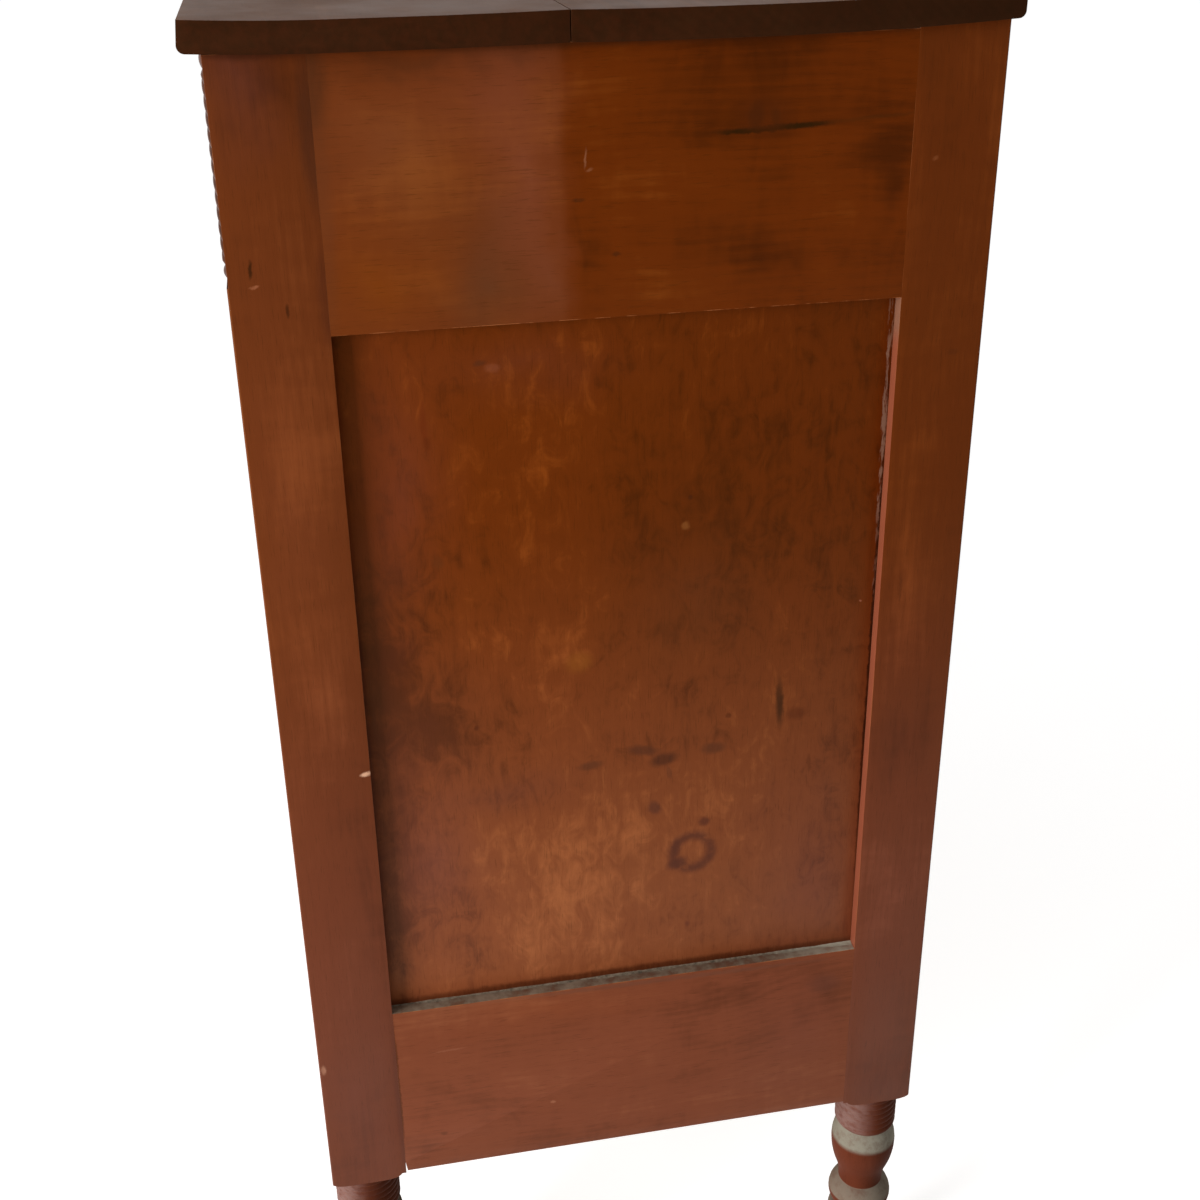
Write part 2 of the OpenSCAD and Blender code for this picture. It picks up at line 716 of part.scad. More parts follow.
// Stopped groove in the back edge of a rail, for the tongue of a runner
tongue_l = 8;
tongue_t = 7;
module runner_groove(s, y, z1, t) {
    translate([s * (x_in - runner_w / 2), y, z1 - t / 2])
        cube([runner_w + 2 * tenon_play, 2 * (tongue_l + tenon_play), tongue_t + 2 * tenon_play],
            center = true);
}

module front_top_rail() {
    color(cherry)
        difference() {
            union() {
                box([-x_in, y_face, z_top - top_rail_t], [x_in, y_front + divider_d, z_top]);
                for (s = [0, 1]) mirror([s, 0, 0])
                    translate([x_in, y_front, z_top - dovetail_depth]) top_dovetail_solid();
            }
            top_screw_holes();
            for (s = [-1, 1]) runner_groove(s, y_front + divider_d, z_top, top_rail_t);
        }
}

module top_dovetail_solid() {
    intersection() {
        top_dovetail(0);
        translate([-over, 0, 0]) cube([rail_tenon_l + over, post_w, dovetail_depth]);
    }
}

module front_bottom_rail() {
    z1 = z_floor(4);
    color(cherry)
        difference() {
            union() {
                box([-x_in, y_face, z_case], [x_in, y_front + bottom_rail_d, z1]);
                box([-x_in - rail_tenon_l, y_front + bottom_tenon_y[0], z_case + bottom_tenon_shoulder],
                    [x_in + rail_tenon_l, y_front + bottom_tenon_y[1], z1 - bottom_tenon_shoulder]);
            }
            for (s = [-1, 1]) runner_groove(s, y_front + bottom_rail_d, z1, runner_t);
        }
}

module back_rail(z0, tenon_z) {
    y_mid = (y_back_rail + y_boards) / 2;
    box([-x_in, y_back_rail, z0], [x_in, y_boards, z0 + back_rail_h]);
    box([-x_in - rail_tenon_l, y_mid - tenon_t / 2, tenon_z[0]],
        [x_in + rail_tenon_l, y_mid + tenon_t / 2, tenon_z[1]]);
}

module back_boards() {
    half_w = x_in + back_rebate - back_board_play;
    step = (case_h + back_gap) / back_board_count;
    color(poplar)
        for (k = [0:back_board_count - 1])
            box([-half_w, y_boards, z_case + k * step], [half_w, y_back, z_case + (k + 1) * step - back_gap]);
}

// Plan of a runner or kicker at the right-hand side: a strip under the drawer's side,
// and a wider stretch between the posts that reaches to the end rails
module runner_bar(y0, z1, t) {
    y_wide0 = y_front + post_w;
    y_wide1 = y_back - post_w;
    translate([0, 0, z1 - t])
        linear_extrude(t)
            polygon([[x_in - runner_w, y0], [x_in, y0], [x_in, y_wide0], [x_rail_in, y_wide0],
                [x_rail_in, y_wide1], [x_in, y_wide1], [x_in, y_back_rail], [x_in - runner_w, y_back_rail]]);
    translate([x_in - runner_w / 2, y0, z1 - t / 2])
        cube([runner_w, 2 * tongue_l, tongue_t], center = true);
}

module runner(i) {
    z1 = z_floor(i);
    union() {
        runner_bar(y_front + floor_rail_d(i), z1, runner_t);
        // Guide beside the drawer, and the stop behind it
        box([x_in, y_front + post_w, z1 - eps], [x_rail_in, y_back - post_w, z1 + guide_h]);
        box([x_in - runner_w, y_drawer_back + stop_gap, z1 - eps],
            [x_in, y_drawer_back + stop_gap + stop_l, z1 + stop_h]);
    }
}

module runners(i) {
    color(poplar) {
        runner(i);
        left() runner(i);
    }
}

module kickers() {
    color(poplar)
        difference() {
            union() {
                kicker();
                left() kicker();
            }
            top_screw_holes();
        }
}

module kicker() { runner_bar(y_front + divider_d, z_top, top_rail_t); }

// Row of tails for a joint of height z0 to z1. Each tail runs along +X from the shoulder at 0
// to its wide end at l. Where it cuts a socket, g widens it and past runs it on at the same slope.
function tail_count(h) = max(2, round(h / dovetail_pitch));
tail_slope = 1 / 6;
module tails(z0, z1, l, g, past) {
    n = tail_count(z1 - z0);
    pitch = (z1 - z0) / n;
    neck = (pitch - pin_w) / 2 - l * tail_slope + g;
    wide = neck + (l + past) * tail_slope;
    end = l + past;
    for (k = [0:n - 1]) {
        zc = z0 + (k + 0.5) * pitch;
        polygon([[-over, zc - neck], [0, zc - neck], [end, zc - wide],
            [end, zc + wide], [0, zc + neck], [-over, zc + neck]]);
    }
}

// Solid tails, t thick, in the plane of a drawer's side: dir is -1 towards the front, 1 towards the back
module tail_row(x, y, dir, z0, z1, l, t, g = 0, past = 0) {
    translate([x, y, 0]) rotate([90, 0, 90]) mirror([dir < 0 ? 1 : 0, 0, 0])
        linear_extrude(t) tails(z0, z1, l, g, past);
}

front_tail_l = drawer_front_t - dovetail_lap;
x_drawer = drawer_w / 2;
y_front_in = y_face + drawer_front_t;
y_back_out = y_drawer_back;
y_back_in = y_drawer_back - drawer_back_t;
slot_h = bottom_edge_t + 2 * bottom_play;
x_groove = x_drawer - drawer_side_t + bottom_groove_d;
function back_z0(i) = z_drawer(i) + bottom_groove_z + slot_h;
function back_z1(i) = z_drawer(i) + side_h(i) - back_drop;

// Cavity of the groove for the drawer bottom, right round the drawer
module bottom_groove(i) {
    z0 = z_drawer(i) + bottom_groove_z;
    box([-x_groove, y_front_in - bottom_groove_d, z0], [x_groove, y_drawer_back + over, z0 + slot_h]);
}

// Drawer side at the right hand
module drawer_side(i) {
    z0 = z_drawer(i);
    z1 = z0 + side_h(i);
    x0 = x_drawer - drawer_side_t;
    difference() {
        union() {
            box([x0, y_front_in, z0], [x_drawer, y_back_in, z1]);
            // Lower corner that runs on under the back
            box([x0, y_back_in - over, z0], [x_drawer, y_drawer_back, back_z0(i) - dovetail_play]);
            tail_row(x0, y_front_in, -1, z0, z1, front_tail_l, drawer_side_t);
            tail_row(x0, y_back_in, 1, back_z0(i), back_z1(i), drawer_back_t, drawer_side_t);
        }
        bottom_groove(i);
    }
}

module drawer_front(i) {
    z0 = z_drawer(i);
    z1 = z0 + front_h(i);
    color(cherry_red)
        difference() {
            union() {
                box([-x_drawer, y_face, z0], [x_drawer, y_front_in, z1]);
                bead_frame(z0, z1);
            }
            for (s = [0, 1]) mirror([s, 0, 0])
                tail_row(x_drawer - drawer_side_t - dovetail_play, y_front_in, -1, z0, z0 + side_h(i),
                    front_tail_l, drawer_side_t + dovetail_play + over, dovetail_play, dovetail_play);
            // Groove for the bottom, stopped at the sides
            box([-x_groove, y_front_in - bottom_groove_d, z0 + bottom_groove_z],
                [x_groove, y_front_in + over, z0 + bottom_groove_z + slot_h]);
            for (s = [-1, 1]) translate([s * pull_x, y_front_in + over, pull_z(i) + ring_r])
                rotate([90, 0, 0]) cylinder(r = shank_r + shank_play, h = drawer_front_t + 2 * over);
        }
}

// Half-round bead along the edges of a drawer front
module bead_frame(z0, z1) {
    r = bead_w / 2;
    base = bead_proud - r;
    y = y_face - base;
    for (z = [z0 + r, z1 - r]) {
        box([-x_drawer, y, z - r], [x_drawer, y_face + over, z + r]);
        translate([-x_drawer, y, z]) rotate([0, 90, 0]) cylinder(r = r, h = 2 * x_drawer);
    }
    for (x = [-x_drawer + r, x_drawer - r]) {
        box([x - r, y, z0], [x + r, y_face + over, z1]);
        translate([x, y, z0]) cylinder(r = r, h = z1 - z0);
    }
}

module drawer_back(i) {
    color(poplar)
        difference() {
            box([-x_drawer, y_back_in, back_z0(i)], [x_drawer, y_back_out, back_z1(i)]);
            for (s = [0, 1]) mirror([s, 0, 0])
                tail_row(x_drawer - drawer_side_t - dovetail_play, y_back_in, 1, back_z0(i), back_z1(i),
                    drawer_back_t, drawer_side_t + dovetail_play + over, dovetail_play, over);
        }
}

module drawer_bottom(i) {
    w = 2 * (x_groove - bottom_room);
    y0 = y_front_in - bottom_groove_d + bottom_room;
    z1 = z_drawer(i) + bottom_groove_z + slot_h - bottom_play;
    color(poplar)
        translate([0, y0, z1 - bottom_t])
            feathered_board(w, y_drawer_back - y0, bottom_t, bottom_edge_t, bottom_groove_d + tongue_spare,
                bottom_feather, true);
}

// Rim of a back plate: its width, how far in its crest lies, and the heights of its edge and its crest
rim_w = 2.2;
rim_crest_in = 1.2;
rim_edge_t = 0.6 * plate_t;
rim_crest_t = 1.15 * plate_t;
// Collar round the boss: how far out it reaches, how wide its slopes are, and the heights of its top and foot
collet_w = 1.6;
collet_slope = 0.4;
collet_t = 1.5 * plate_t;
collet_foot_t = 1.1 * plate_t;
// Dome of the boss: how far inside the collar it starts, and the angle that its curve covers
dome_inset = 1.2;
dome_sweep = 75;
dome_steps = 6;

// Back plate of a ring pull, standing on the drawer's face at the origin with its front towards -Y
plate_outline = concat(
    [[0, 0], [plate_r, 0], [plate_r, rim_edge_t], [plate_r - rim_crest_in, rim_crest_t],
        [plate_r - rim_w, plate_t]],
    [[boss_r + collet_w, plate_t], [boss_r + collet_w - collet_slope, collet_t], [boss_r, collet_t],
        [boss_r - collet_slope, collet_foot_t]],
    [for (k = [0:dome_steps]) let (a = dome_sweep * k / dome_steps)
        [(boss_r - dome_inset) * cos(a), plate_t + (boss_h - plate_t) * sin(a)]],
    [[0, boss_h]]);
// How far the shank reaches into the plate, and how deep in the plate the eye is rooted
shank_sunk = 0.3 * plate_t;
eye_root = 0.7 * plate_t;

module pull_plate() {
    difference() {
        union() {
            rotate([90, 0, 0]) rotate_extrude() polygon(plate_outline);
            // Eye that carries the ring, and its shank through the drawer front
            translate([0, 0, ring_r]) {
                rotate([90, 0, 0]) translate([0, 0, -drawer_front_t - nut_t - shank_end])
                    cylinder(r = shank_r, h = drawer_front_t + nut_t + shank_end + shank_sunk);
                difference() {
                    translate([-eye_w / 2, -eye_y, 0]) rotate([0, 90, 0]) cylinder(r = eye_r, h = eye_w);
                    translate([-eye_w, -eye_root, -2 * eye_r]) cube([2 * eye_w, 2 * eye_r, 4 * eye_r]);
                }
            }
        }
        translate([-eye_w, -eye_y, ring_r]) rotate([0, 90, 0]) cylinder(r = eye_hole_r, h = 2 * eye_w);
    }
}

module pull_nut() {
    translate([0, drawer_front_t, ring_r])
        rotate([-90, 0, 0])
            difference() {
                cylinder(r = nut_r, h = nut_t, $fn = 6);
                translate([0, 0, -over]) cylinder(r = shank_r + nut_play, h = nut_t + 2 * over);
            }
}

module pull_plates(i) {
    color(brass)
        for (s = [-1, 1]) translate([s * pull_x, y_face, pull_z(i)]) {
            pull_plate();
            pull_nut();
        }
}

module ring(i, s) {
    color(brass)
        translate([s * pull_x, y_face - eye_y, pull_z(i)])
            rotate([90, 0, 0]) rotate_extrude() translate([ring_r, 0]) circle(r = wire_r, $fn = 32);
}

top_front_board();
top_back_board();
color(cherry_red) left() front_post();  // front_left_post
color(cherry_red) front_post();  // front_right_post
color(cherry_red) left() back_post();  // back_left_post
color(cherry_red) back_post();  // back_right_post
color(cherry_red) left() rope_column();  // left_rope_column
color(cherry_red) rope_column();  // right_rope_column
color(cherry) left() upper_rail();  // left_upper_rail
color(cherry) left() lower_rail();  // left_lower_rail
color(cherry) left() end_panel();  // left_panel
color(cherry) upper_rail();  // right_upper_rail
color(cherry) lower_rail();  // right_lower_rail
color(cherry) end_panel();  // right_panel
front_top_rail();
color(cherry) divider(1);  // drawer_rail_1
color(cherry) divider(2);  // drawer_rail_2
color(cherry) divider(3);  // drawer_rail_3
front_bottom_rail();
color(poplar) back_rail(z_top - back_rail_h, back_upper_tenon_z);  // back_top_rail
color(poplar) back_rail(z_case, back_lower_tenon_z);  // back_bottom_rail
back_boards();
kickers();
runners(1);  // runners_1
runners(2);  // runners_2
runners(3);  // runners_3
runners(4);  // runners_4
top_screws();
for (i = [1:4]) {
    drawer_front(i);
    color(poplar) left() drawer_side(i);
    color(poplar) drawer_side(i);
    drawer_back(i);
    drawer_bottom(i);
    pull_plates(i);
    ring(i, -1);
    ring(i, 1);
}
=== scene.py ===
"""Old cherry chest of drawers: the finish of every piece, the light and the camera."""
import json
import math
import random

import bmesh
import bpy
from mathutils import Matrix, Vector, noise


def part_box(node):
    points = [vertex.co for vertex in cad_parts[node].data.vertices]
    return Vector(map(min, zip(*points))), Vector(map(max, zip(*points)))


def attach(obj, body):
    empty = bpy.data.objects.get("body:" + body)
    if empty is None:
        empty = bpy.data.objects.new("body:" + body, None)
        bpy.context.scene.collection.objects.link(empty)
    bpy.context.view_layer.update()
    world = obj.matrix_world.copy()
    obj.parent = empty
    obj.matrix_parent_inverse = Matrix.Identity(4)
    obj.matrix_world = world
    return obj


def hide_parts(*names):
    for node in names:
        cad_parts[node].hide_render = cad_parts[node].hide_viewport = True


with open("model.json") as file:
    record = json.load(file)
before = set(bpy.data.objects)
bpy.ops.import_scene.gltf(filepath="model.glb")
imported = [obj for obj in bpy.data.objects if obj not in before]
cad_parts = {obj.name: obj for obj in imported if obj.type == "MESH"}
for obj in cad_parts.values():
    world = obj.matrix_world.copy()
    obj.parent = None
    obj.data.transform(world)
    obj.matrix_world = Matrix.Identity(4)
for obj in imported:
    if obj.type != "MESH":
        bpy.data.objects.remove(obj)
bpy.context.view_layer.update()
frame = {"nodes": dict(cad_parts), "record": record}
MM = 0.001
BODY_OF = {node: body for body, nodes in frame["record"]["behaviour"]["bodies"].items() for node in nodes}


# Camera, at the photograph's place and angle
CAMERA_AT = (1.500, -0.20225, 1.201)
CAMERA_YAW = 79.1
CAMERA_PITCH = 63.87
CAMERA_ROLL = -0.82
LENS = 47.46
SENSOR = 36.0


def make_camera():
    data = bpy.data.cameras.new("camera")
    data.sensor_fit = "HORIZONTAL"
    data.sensor_width = SENSOR
    data.lens = LENS
    camera = bpy.data.objects.new("camera", data)
    turn = Matrix.Rotation(math.radians(CAMERA_YAW), 4, "Z")
    turn = turn @ Matrix.Rotation(math.radians(CAMERA_PITCH), 4, "X")
    turn = turn @ Matrix.Rotation(math.radians(CAMERA_ROLL), 4, "Z")
    camera.matrix_world = Matrix.Translation(CAMERA_AT) @ turn
    bpy.context.scene.collection.objects.link(camera)
    bpy.context.scene.camera = camera


# Numbers of a mix node's colour sockets
MIX_A = 6
MIX_B = 7
MIX_RESULT = 2
# How far a place is moved for a second noise that has nothing to do with the first
ELSEWHERE = (3.1, 1.7, 0.6)


def colour(tone):
    """An sRGB colour, 0 to 255, as the linear one that a socket takes. A socket stays as it is."""
    if isinstance(tone, bpy.types.NodeSocket):
        return tone
    linear = [((c / 255 + 0.055) / 1.055) ** 2.4 if c > 10 else c / 255 / 12.92 for c in tone]
    return (*linear, 1.0)


def shaded(tone, share):
    return tuple(c * share for c in tone)


class Nodes:
    """A node tree. Its calls return output sockets, which later calls take as values."""

    def __init__(self, tree):
        self.tree = tree

    def node(self, kind, inputs=None, **settings):
        made = self.tree.nodes.new(kind)
        for key, value in settings.items():
            setattr(made, key, value)
        for key, value in (inputs or {}).items():
            self.put(made.inputs[key], value)
        return made

    def put(self, socket, value):
        if isinstance(value, bpy.types.NodeSocket):
            self.tree.links.new(value, socket)
        else:
            socket.default_value = value

    def math(self, operation, a, b=0.0, c=0.0, clamp=False):
        node = self.node("ShaderNodeMath", {0: a, 1: b, 2: c}, operation=operation, use_clamp=clamp)
        return node.outputs[0]

    def vector(self, operation, a, b=(0, 0, 0)):
        node = self.node("ShaderNodeVectorMath", {0: a, 1: b}, operation=operation)
        return node.outputs["Value"] if operation in ("LENGTH", "DOT_PRODUCT") else node.outputs[0]

    def part(self, vector, axis):
        """One coordinate of a vector."""
        return self.node("ShaderNodeSeparateXYZ", {0: vector}).outputs[axis]

    def noise(self, place, scale, detail=4.0, roughness=0.55, distortion=0.0):
        """Noise from 0 to 1. The scale is one number, or one for each axis."""
        scales = scale if isinstance(scale, tuple) else (scale,) * 3
        settings = {"Vector": self.vector("MULTIPLY", place, scales), "Scale": 1.0, "Detail": detail,
                    "Roughness": roughness, "Distortion": distortion}
        return self.node("ShaderNodeTexNoise", settings).outputs["Fac"]

    def stretch(self, value, low, high, to_low=0.0, to_high=1.0):
        """The value eased from one range to another, and held at its ends."""
        settings = {"Value": value, "From Min": low, "From Max": high, "To Min": to_low, "To Max": to_high}
        return self.node("ShaderNodeMapRange", settings, interpolation_type="SMOOTHSTEP").outputs[0]

    def above(self, value, level, blur=0.002):
        return self.stretch(value, level - blur, level + blur)

    def below(self, value, level, blur=0.002):
        return self.stretch(value, level + blur, level - blur)

    def mix(self, factor, a, b):
        inputs = {"Factor": factor, MIX_A: colour(a), MIX_B: colour(b)}
        return self.node("ShaderNodeMix", inputs, data_type="RGBA").outputs[MIX_RESULT]

    def add_scaled(self, value, other, amount):
        """value plus amount times how far other lies from its middle, 0.5."""
        return self.math("MULTIPLY_ADD", self.math("SUBTRACT", other, 0.5), amount, value)

    def attribute(self, name):
        return self.node("ShaderNodeAttribute", attribute_name=name).outputs["Fac"]

    def spot(self, place, centre, radii, turn=0.0, core=0.0):
        """1 in the middle of an ellipsoid and 0 at its edge. With a core its middle is flat."""
        moved = self.node("ShaderNodeMapping", {"Vector": place, "Location": centre, "Scale": radii,
                                                "Rotation": (math.radians(turn), 0.0, 0.0)},
                          vector_type="TEXTURE").outputs[0]
        if not core:
            return self.node("ShaderNodeTexGradient", {"Vector": moved},
                             gradient_type="QUADRATIC_SPHERE").outputs["Fac"]
        inside = self.node("ShaderNodeTexGradient", {"Vector": moved}, gradient_type="SPHERICAL")
        return self.stretch(inside.outputs["Fac"], 0.0, core)

    def ring(self, place, centre, radius, width):
        """1 on a ring that lies in an X plane, falling to 0 at half its width from the line."""
        moved = self.vector("MULTIPLY", self.vector("SUBTRACT", place, centre), (0.0, 1.0, 1.0))
        away = self.math("ABSOLUTE", self.math("SUBTRACT", self.vector("LENGTH", moved), radius))
        return self.stretch(away, width / 2, 0.0)


class Shader(Nodes):
    """One material, with the places and directions on its surface."""

    def __init__(self, name):
        self.material = bpy.data.materials.new(name)
        self.material.use_nodes = True
        super().__init__(self.material.node_tree)
        self.surface = self.tree.nodes["Principled BSDF"]
        coordinates = self.node("ShaderNodeTexCoord")
        self.place = coordinates.outputs["Object"]
        self.normal = coordinates.outputs["Normal"]

    def coat(self, inputs):
        """Gives the surface's inputs, by their names, their values or sockets."""
        for key, value in inputs.items():
            self.put(self.surface.inputs[key], value)

    def shifted(self, reach, size, detail=6.0, roughness=0.68):
        """The place, moved about by up to half of reach, so that what is drawn there gets uneven edges."""
        across = self.noise(self.place, 1 / size, detail, roughness)
        up = self.noise(self.vector("ADD", self.place, ELSEWHERE), 1 / size, detail, roughness)
        move = self.node("ShaderNodeCombineXYZ", {1: self.math("MULTIPLY_ADD", across, reach, -reach / 2),
                                                  2: self.math("MULTIPLY_ADD", up, reach, -reach / 2)})
        return self.vector("ADD", self.place, move.outputs[0])

    def bump(self, height, distance):
        bump = self.node("ShaderNodeBump", {"Height": height, "Distance": distance})
        self.coat({"Normal": bump.outputs[0]})


# Tones of the finish, dark, middle and light, in sRGB: high on the chest, and low on it where dust hazes it
POST_TONES = (((64, 24, 8), (95, 42, 16), (124, 62, 28)), ((74, 33, 21), (99, 48, 31), (124, 66, 47)))
BACK_TONES = (((62, 22, 4), (89, 36, 8), (118, 55, 18)), POST_TONES[1])
ROPE_TONES = (((36, 14, 8), (60, 27, 15), (86, 44, 26)),) * 2
RAIL_TONES = (((62, 18, 0), (92, 34, 2), (121, 58, 14)), ((84, 40, 24), (112, 57, 37), (134, 76, 50)))
PANEL_TONES = (((58, 18, 0), (93, 36, 4), (126, 58, 14)), ((82, 38, 22), (122, 64, 36), (150, 86, 50)))
FRONT_TONES = (((66, 24, 6), (102, 44, 16), (132, 68, 28)), ((80, 36, 20), (114, 56, 34), (140, 78, 50)))
TOP_TONES = (((62, 36, 20), (93, 58, 35), (116, 75, 46)),) * 2
POPLAR_TONES = (((150, 116, 78), (179, 147, 106), (201, 171, 131)),) * 2
HIGH_Z = 0.80
LOW_Z = 0.40
# Dust in the hollows, on top of it, and at the back, where most has gathered between these y
DUST_TONES = ((82, 72, 60), (132, 118, 101), (168, 162, 144))
DUST_BACK_Y = (0.10, 0.20)
DUST_BACK_SHARE = 0.85
# Tint of the varnish's reflection, warm because the film has yellowed
VARNISH = (1.0, 0.5, 0.12, 1.0)
NO_TINT = (1.0, 1.0, 1.0, 1.0)

# Stains, wear and painted shade of the right-hand end, as (y, z) on it and half width and half height, all in
# mm.
# Areas give how much lighter, or darker below 0. Hazes give a tone and a share of it.
# Marks give a turn in degrees, a tone and a share. Flakes are broken up.
# UPPER and LOWER are the end's rails, FRONT and BACK its posts.
PANEL_AREAS = (
    # Areas at y -170 and -178 darken the strip beside the front post: painted shadow cast by the post.
    (-170, 640, 46, 190, -0.42), (-129, 862, 15, 34, 0.14), (-40, 835, 60, 80, 0.12),
    (54, 775, 84, 115, -0.24), (-178, 470, 26, 110, -0.40), (-30, 510, 60, 40, 0.18),
    (84, 630, 60, 56, 0.18), (-130, 480, 40, 60, -0.26), (-104, 608, 50, 46, -0.30),
    (-130, 705, 50, 56, -0.22), (30, 680, 66, 90, -0.14), (-46, 690, 74, 66, 0.20),
    (-150, 625, 50, 46, -0.12), (-80, 556, 60, 22, -0.16), (30, 584, 70, 16, -0.22),
    (-40, 470, 84, 84, 0.36), (-60, 410, 60, 50, 0.16), (172, 470, 44, 150, -0.22),
    (-84, 792, 40, 34, 0.04), (72, 535, 60, 50, 0.22), (140, 840, 50, 80, -0.14),
    (-112, 430, 44, 54, -0.24))
PANEL_HAZES_AND_SHADE = (
    (-150, 800, 44, 120, (108, 50, 34), 0.40), (-145, 505, 54, 90, (108, 58, 46), 0.60),
    (155, 440, 56, 110, (108, 56, 46), 0.45), (55, 700, 60, 70, (88, 46, 26), 0.35),
    (-86, 560, 60, 18, (88, 46, 36), 0.35), (-134, 622, 54, 56, (78, 38, 26), 0.26),
    # The haze at y -172 is painted shadow beside the front post.
    (-172, 620, 30, 300, (82, 38, 30), 0.40), (-60, 885, 70, 26, (96, 44, 28), 0.35),
    (54, 775, 74, 96, (78, 31, 4), 0.42))
PANEL_MARKS = (
    (66, 512, 6.5, 6, 20, (72, 31, 24), 0.75), (122.6, 610, 4.4, 29, 3, (56, 24, 10), 0.90),
    (136, 599, 11, 8, 0, (80, 30, 12), 0.60), (148, 554, 2.6, 11, 4, (78, 34, 16), 0.50),
    (52, 782, 2.4, 2.4, 0, (54, 20, 8), 0.65), (83, 604, 3.4, 3, 0, (64, 20, 8), 0.60),
    (-125, 750, 6, 6, 0, (78, 36, 14), 0.40), (-105, 617, 2.6, 2.8, 0, (62, 22, 12), 0.60),
    (54, 417, 3.4, 4, 20, (92, 42, 30), 0.55), (-129, 850, 3, 22, 2, (88, 30, 8), 0.55),
    (-127, 836, 4, 8, 0, (74, 24, 6), 0.50), (48.5, 761, 4.0, 4.2, 0, (134, 80, 38), 0.50),
    (181, 688, 1.6, 1.3, 0, (170, 106, 80), 0.60), (-90, 889, 6, 3, 0, (66, 32, 18), 0.60),
    (-82, 885, 7, 4, 0, (124, 66, 42), 0.40), (34, 572, 15, 8, 10, (68, 31, 19), 0.90),
    (27, 530, 7, 9, 30, (76, 37, 28), 0.75), (18, 582, 17, 6, -12, (76, 37, 23), 0.80),
    (-22, 574, 13, 5, 6, (80, 40, 24), 0.75), (72, 577, 13, 7, 0, (80, 40, 24), 0.80),
    (-29, 662, 14, 12, 10, (134, 76, 24), 0.35), (38, 560, 3, 9, 12, (80, 40, 26), 0.45),
    # The long mark at y -190 is painted shadow beside the front post.
    (-190, 600, 11, 300, 0, (38, 27, 32), 0.60), (191.2, 646, 1.8, 300, 0, (40, 15, 7), 0.90),
    # The long mark at z 378 is painted shade along the panel's foot, above the ledge.
    (0, 378, 320, 6.5, 0, (60, 21, 6), 0.75), (45, 476, 12, 7, 20, (66, 30, 26), 0.75),
    (44, 491, 5, 12, 0, (72, 34, 28), 0.50))
PANEL_FLAKES = (
    (189.6, 830, 2.2, 96, (136, 104, 86), 0.85), (190.0, 905, 3.0, 30, (122, 84, 64), 0.7),
    (190.4, 720, 1.2, 50, (124, 84, 66), 0.6))
UPPER_AREAS = (
    (39, 1058, 30, 30, -0.10), (91, 958, 70, 46, -0.14), (178, 990, 34, 92, -0.46),
    (-23, 1007, 16, 60, -0.22), (-24, 948, 16, 38, -0.36), (95, 1046, 120, 40, -0.12),
    (20, 930, 60, 14, 0.16), (-150, 950, 50, 36, 0.14), (-150, 1068, 56, 32, -0.24),
    (-118, 1018, 48, 48, 0.46), (-58, 1074, 46, 22, -0.22), (60, 1062, 60, 24, -0.18),
    # These areas along z 1080 are painted shade under the top's overhang.
    (60, 1080, 160, 12, -0.30), (-110, 1080, 90, 14, -0.30))
UPPER_HAZES = (
    (-84, 942, 34, 50, (84, 46, 26), 0.75), (-76, 985, 26, 34, (94, 52, 32), 0.30),
    (-58, 1010, 26, 90, (124, 66, 44), 0.50), (-75, 1060, 50, 30, (120, 62, 40), 0.40),
    (-140, 1030, 60, 50, (122, 68, 38), 0.40), (-50, 945, 16, 44, (108, 56, 36), 0.45),
    (-156, 946, 44, 34, (116, 54, 6), 0.50), (-120, 1000, 30, 50, (112, 60, 26), 0.30))
UPPER_MARKS = (
    (100, 1030, 56, 3.0, 1.8, (40, 12, 2), 0.90), (84, 1028.6, 26, 2.2, 1.0, (26, 7, 0), 0.90),
    (118, 1030.5, 24, 2.2, 3.4, (26, 7, 0), 0.90), (165, 1033.5, 46, 1.8, 3.0, (64, 26, 4), 0.50),
    (94, 1038, 24, 17, 0, (70, 24, 4), 0.50), (88, 1038, 7, 12, -8, (54, 18, 4), 0.55),
    (101, 1036, 4.5, 9, 14, (56, 20, 4), 0.45), (-20, 1017, 1.2, 8, -4, (138, 88, 60), 0.55),
    (-17.5, 1010, 3.0, 1.4, 20, (132, 82, 54), 0.45), (-25, 992, 6, 1.8, 0, (56, 22, 6), 0.60),
    # The long mark at z 1087 is painted shadow under the top's overhang.
    (-1, 957, 4.4, 2.0, 0, (52, 20, 6), 0.60), (5, 1087, 300, 7, 0, (58, 25, 10), 0.70),
    # The marks at y -183 are painted shade along the joint with the front post.
    (-183, 1000, 11, 120, 0, (90, 44, 22), 0.45), (-183, 1070, 15, 40, 0, (62, 30, 16), 0.60))
LOWER_AREAS = (
    (172, 345, 34, 24, -0.34), (-90, 366, 100, 16, 0.26), (0, 222, 200, 16, -0.22),
    (-165, 226, 40, 24, -0.34), (0, 290, 200, 60, -0.12), (-156, 250, 44, 50, -0.10))
LOWER_MARKS = (
    (168, 345, 20, 13, 0, (84, 46, 38), 0.40), (-141, 332, 18, 1.4, 3, (136, 82, 60), 0.40),
    (-60, 262, 3, 2, 0, (150, 96, 70), 0.6), (-150, 246, 4, 2.4, 0, (76, 38, 24), 0.6),
    (30, 372, 200, 3.0, -1, (92, 58, 46), 0.45), (-183.2, 300, 1.8, 95, 0, (54, 24, 14), 0.65))
LOWER_HAZES = (
    (-60, 360, 110, 22, (126, 62, 34), 0.45), (150, 290, 60, 90, (106, 56, 44), 0.40))
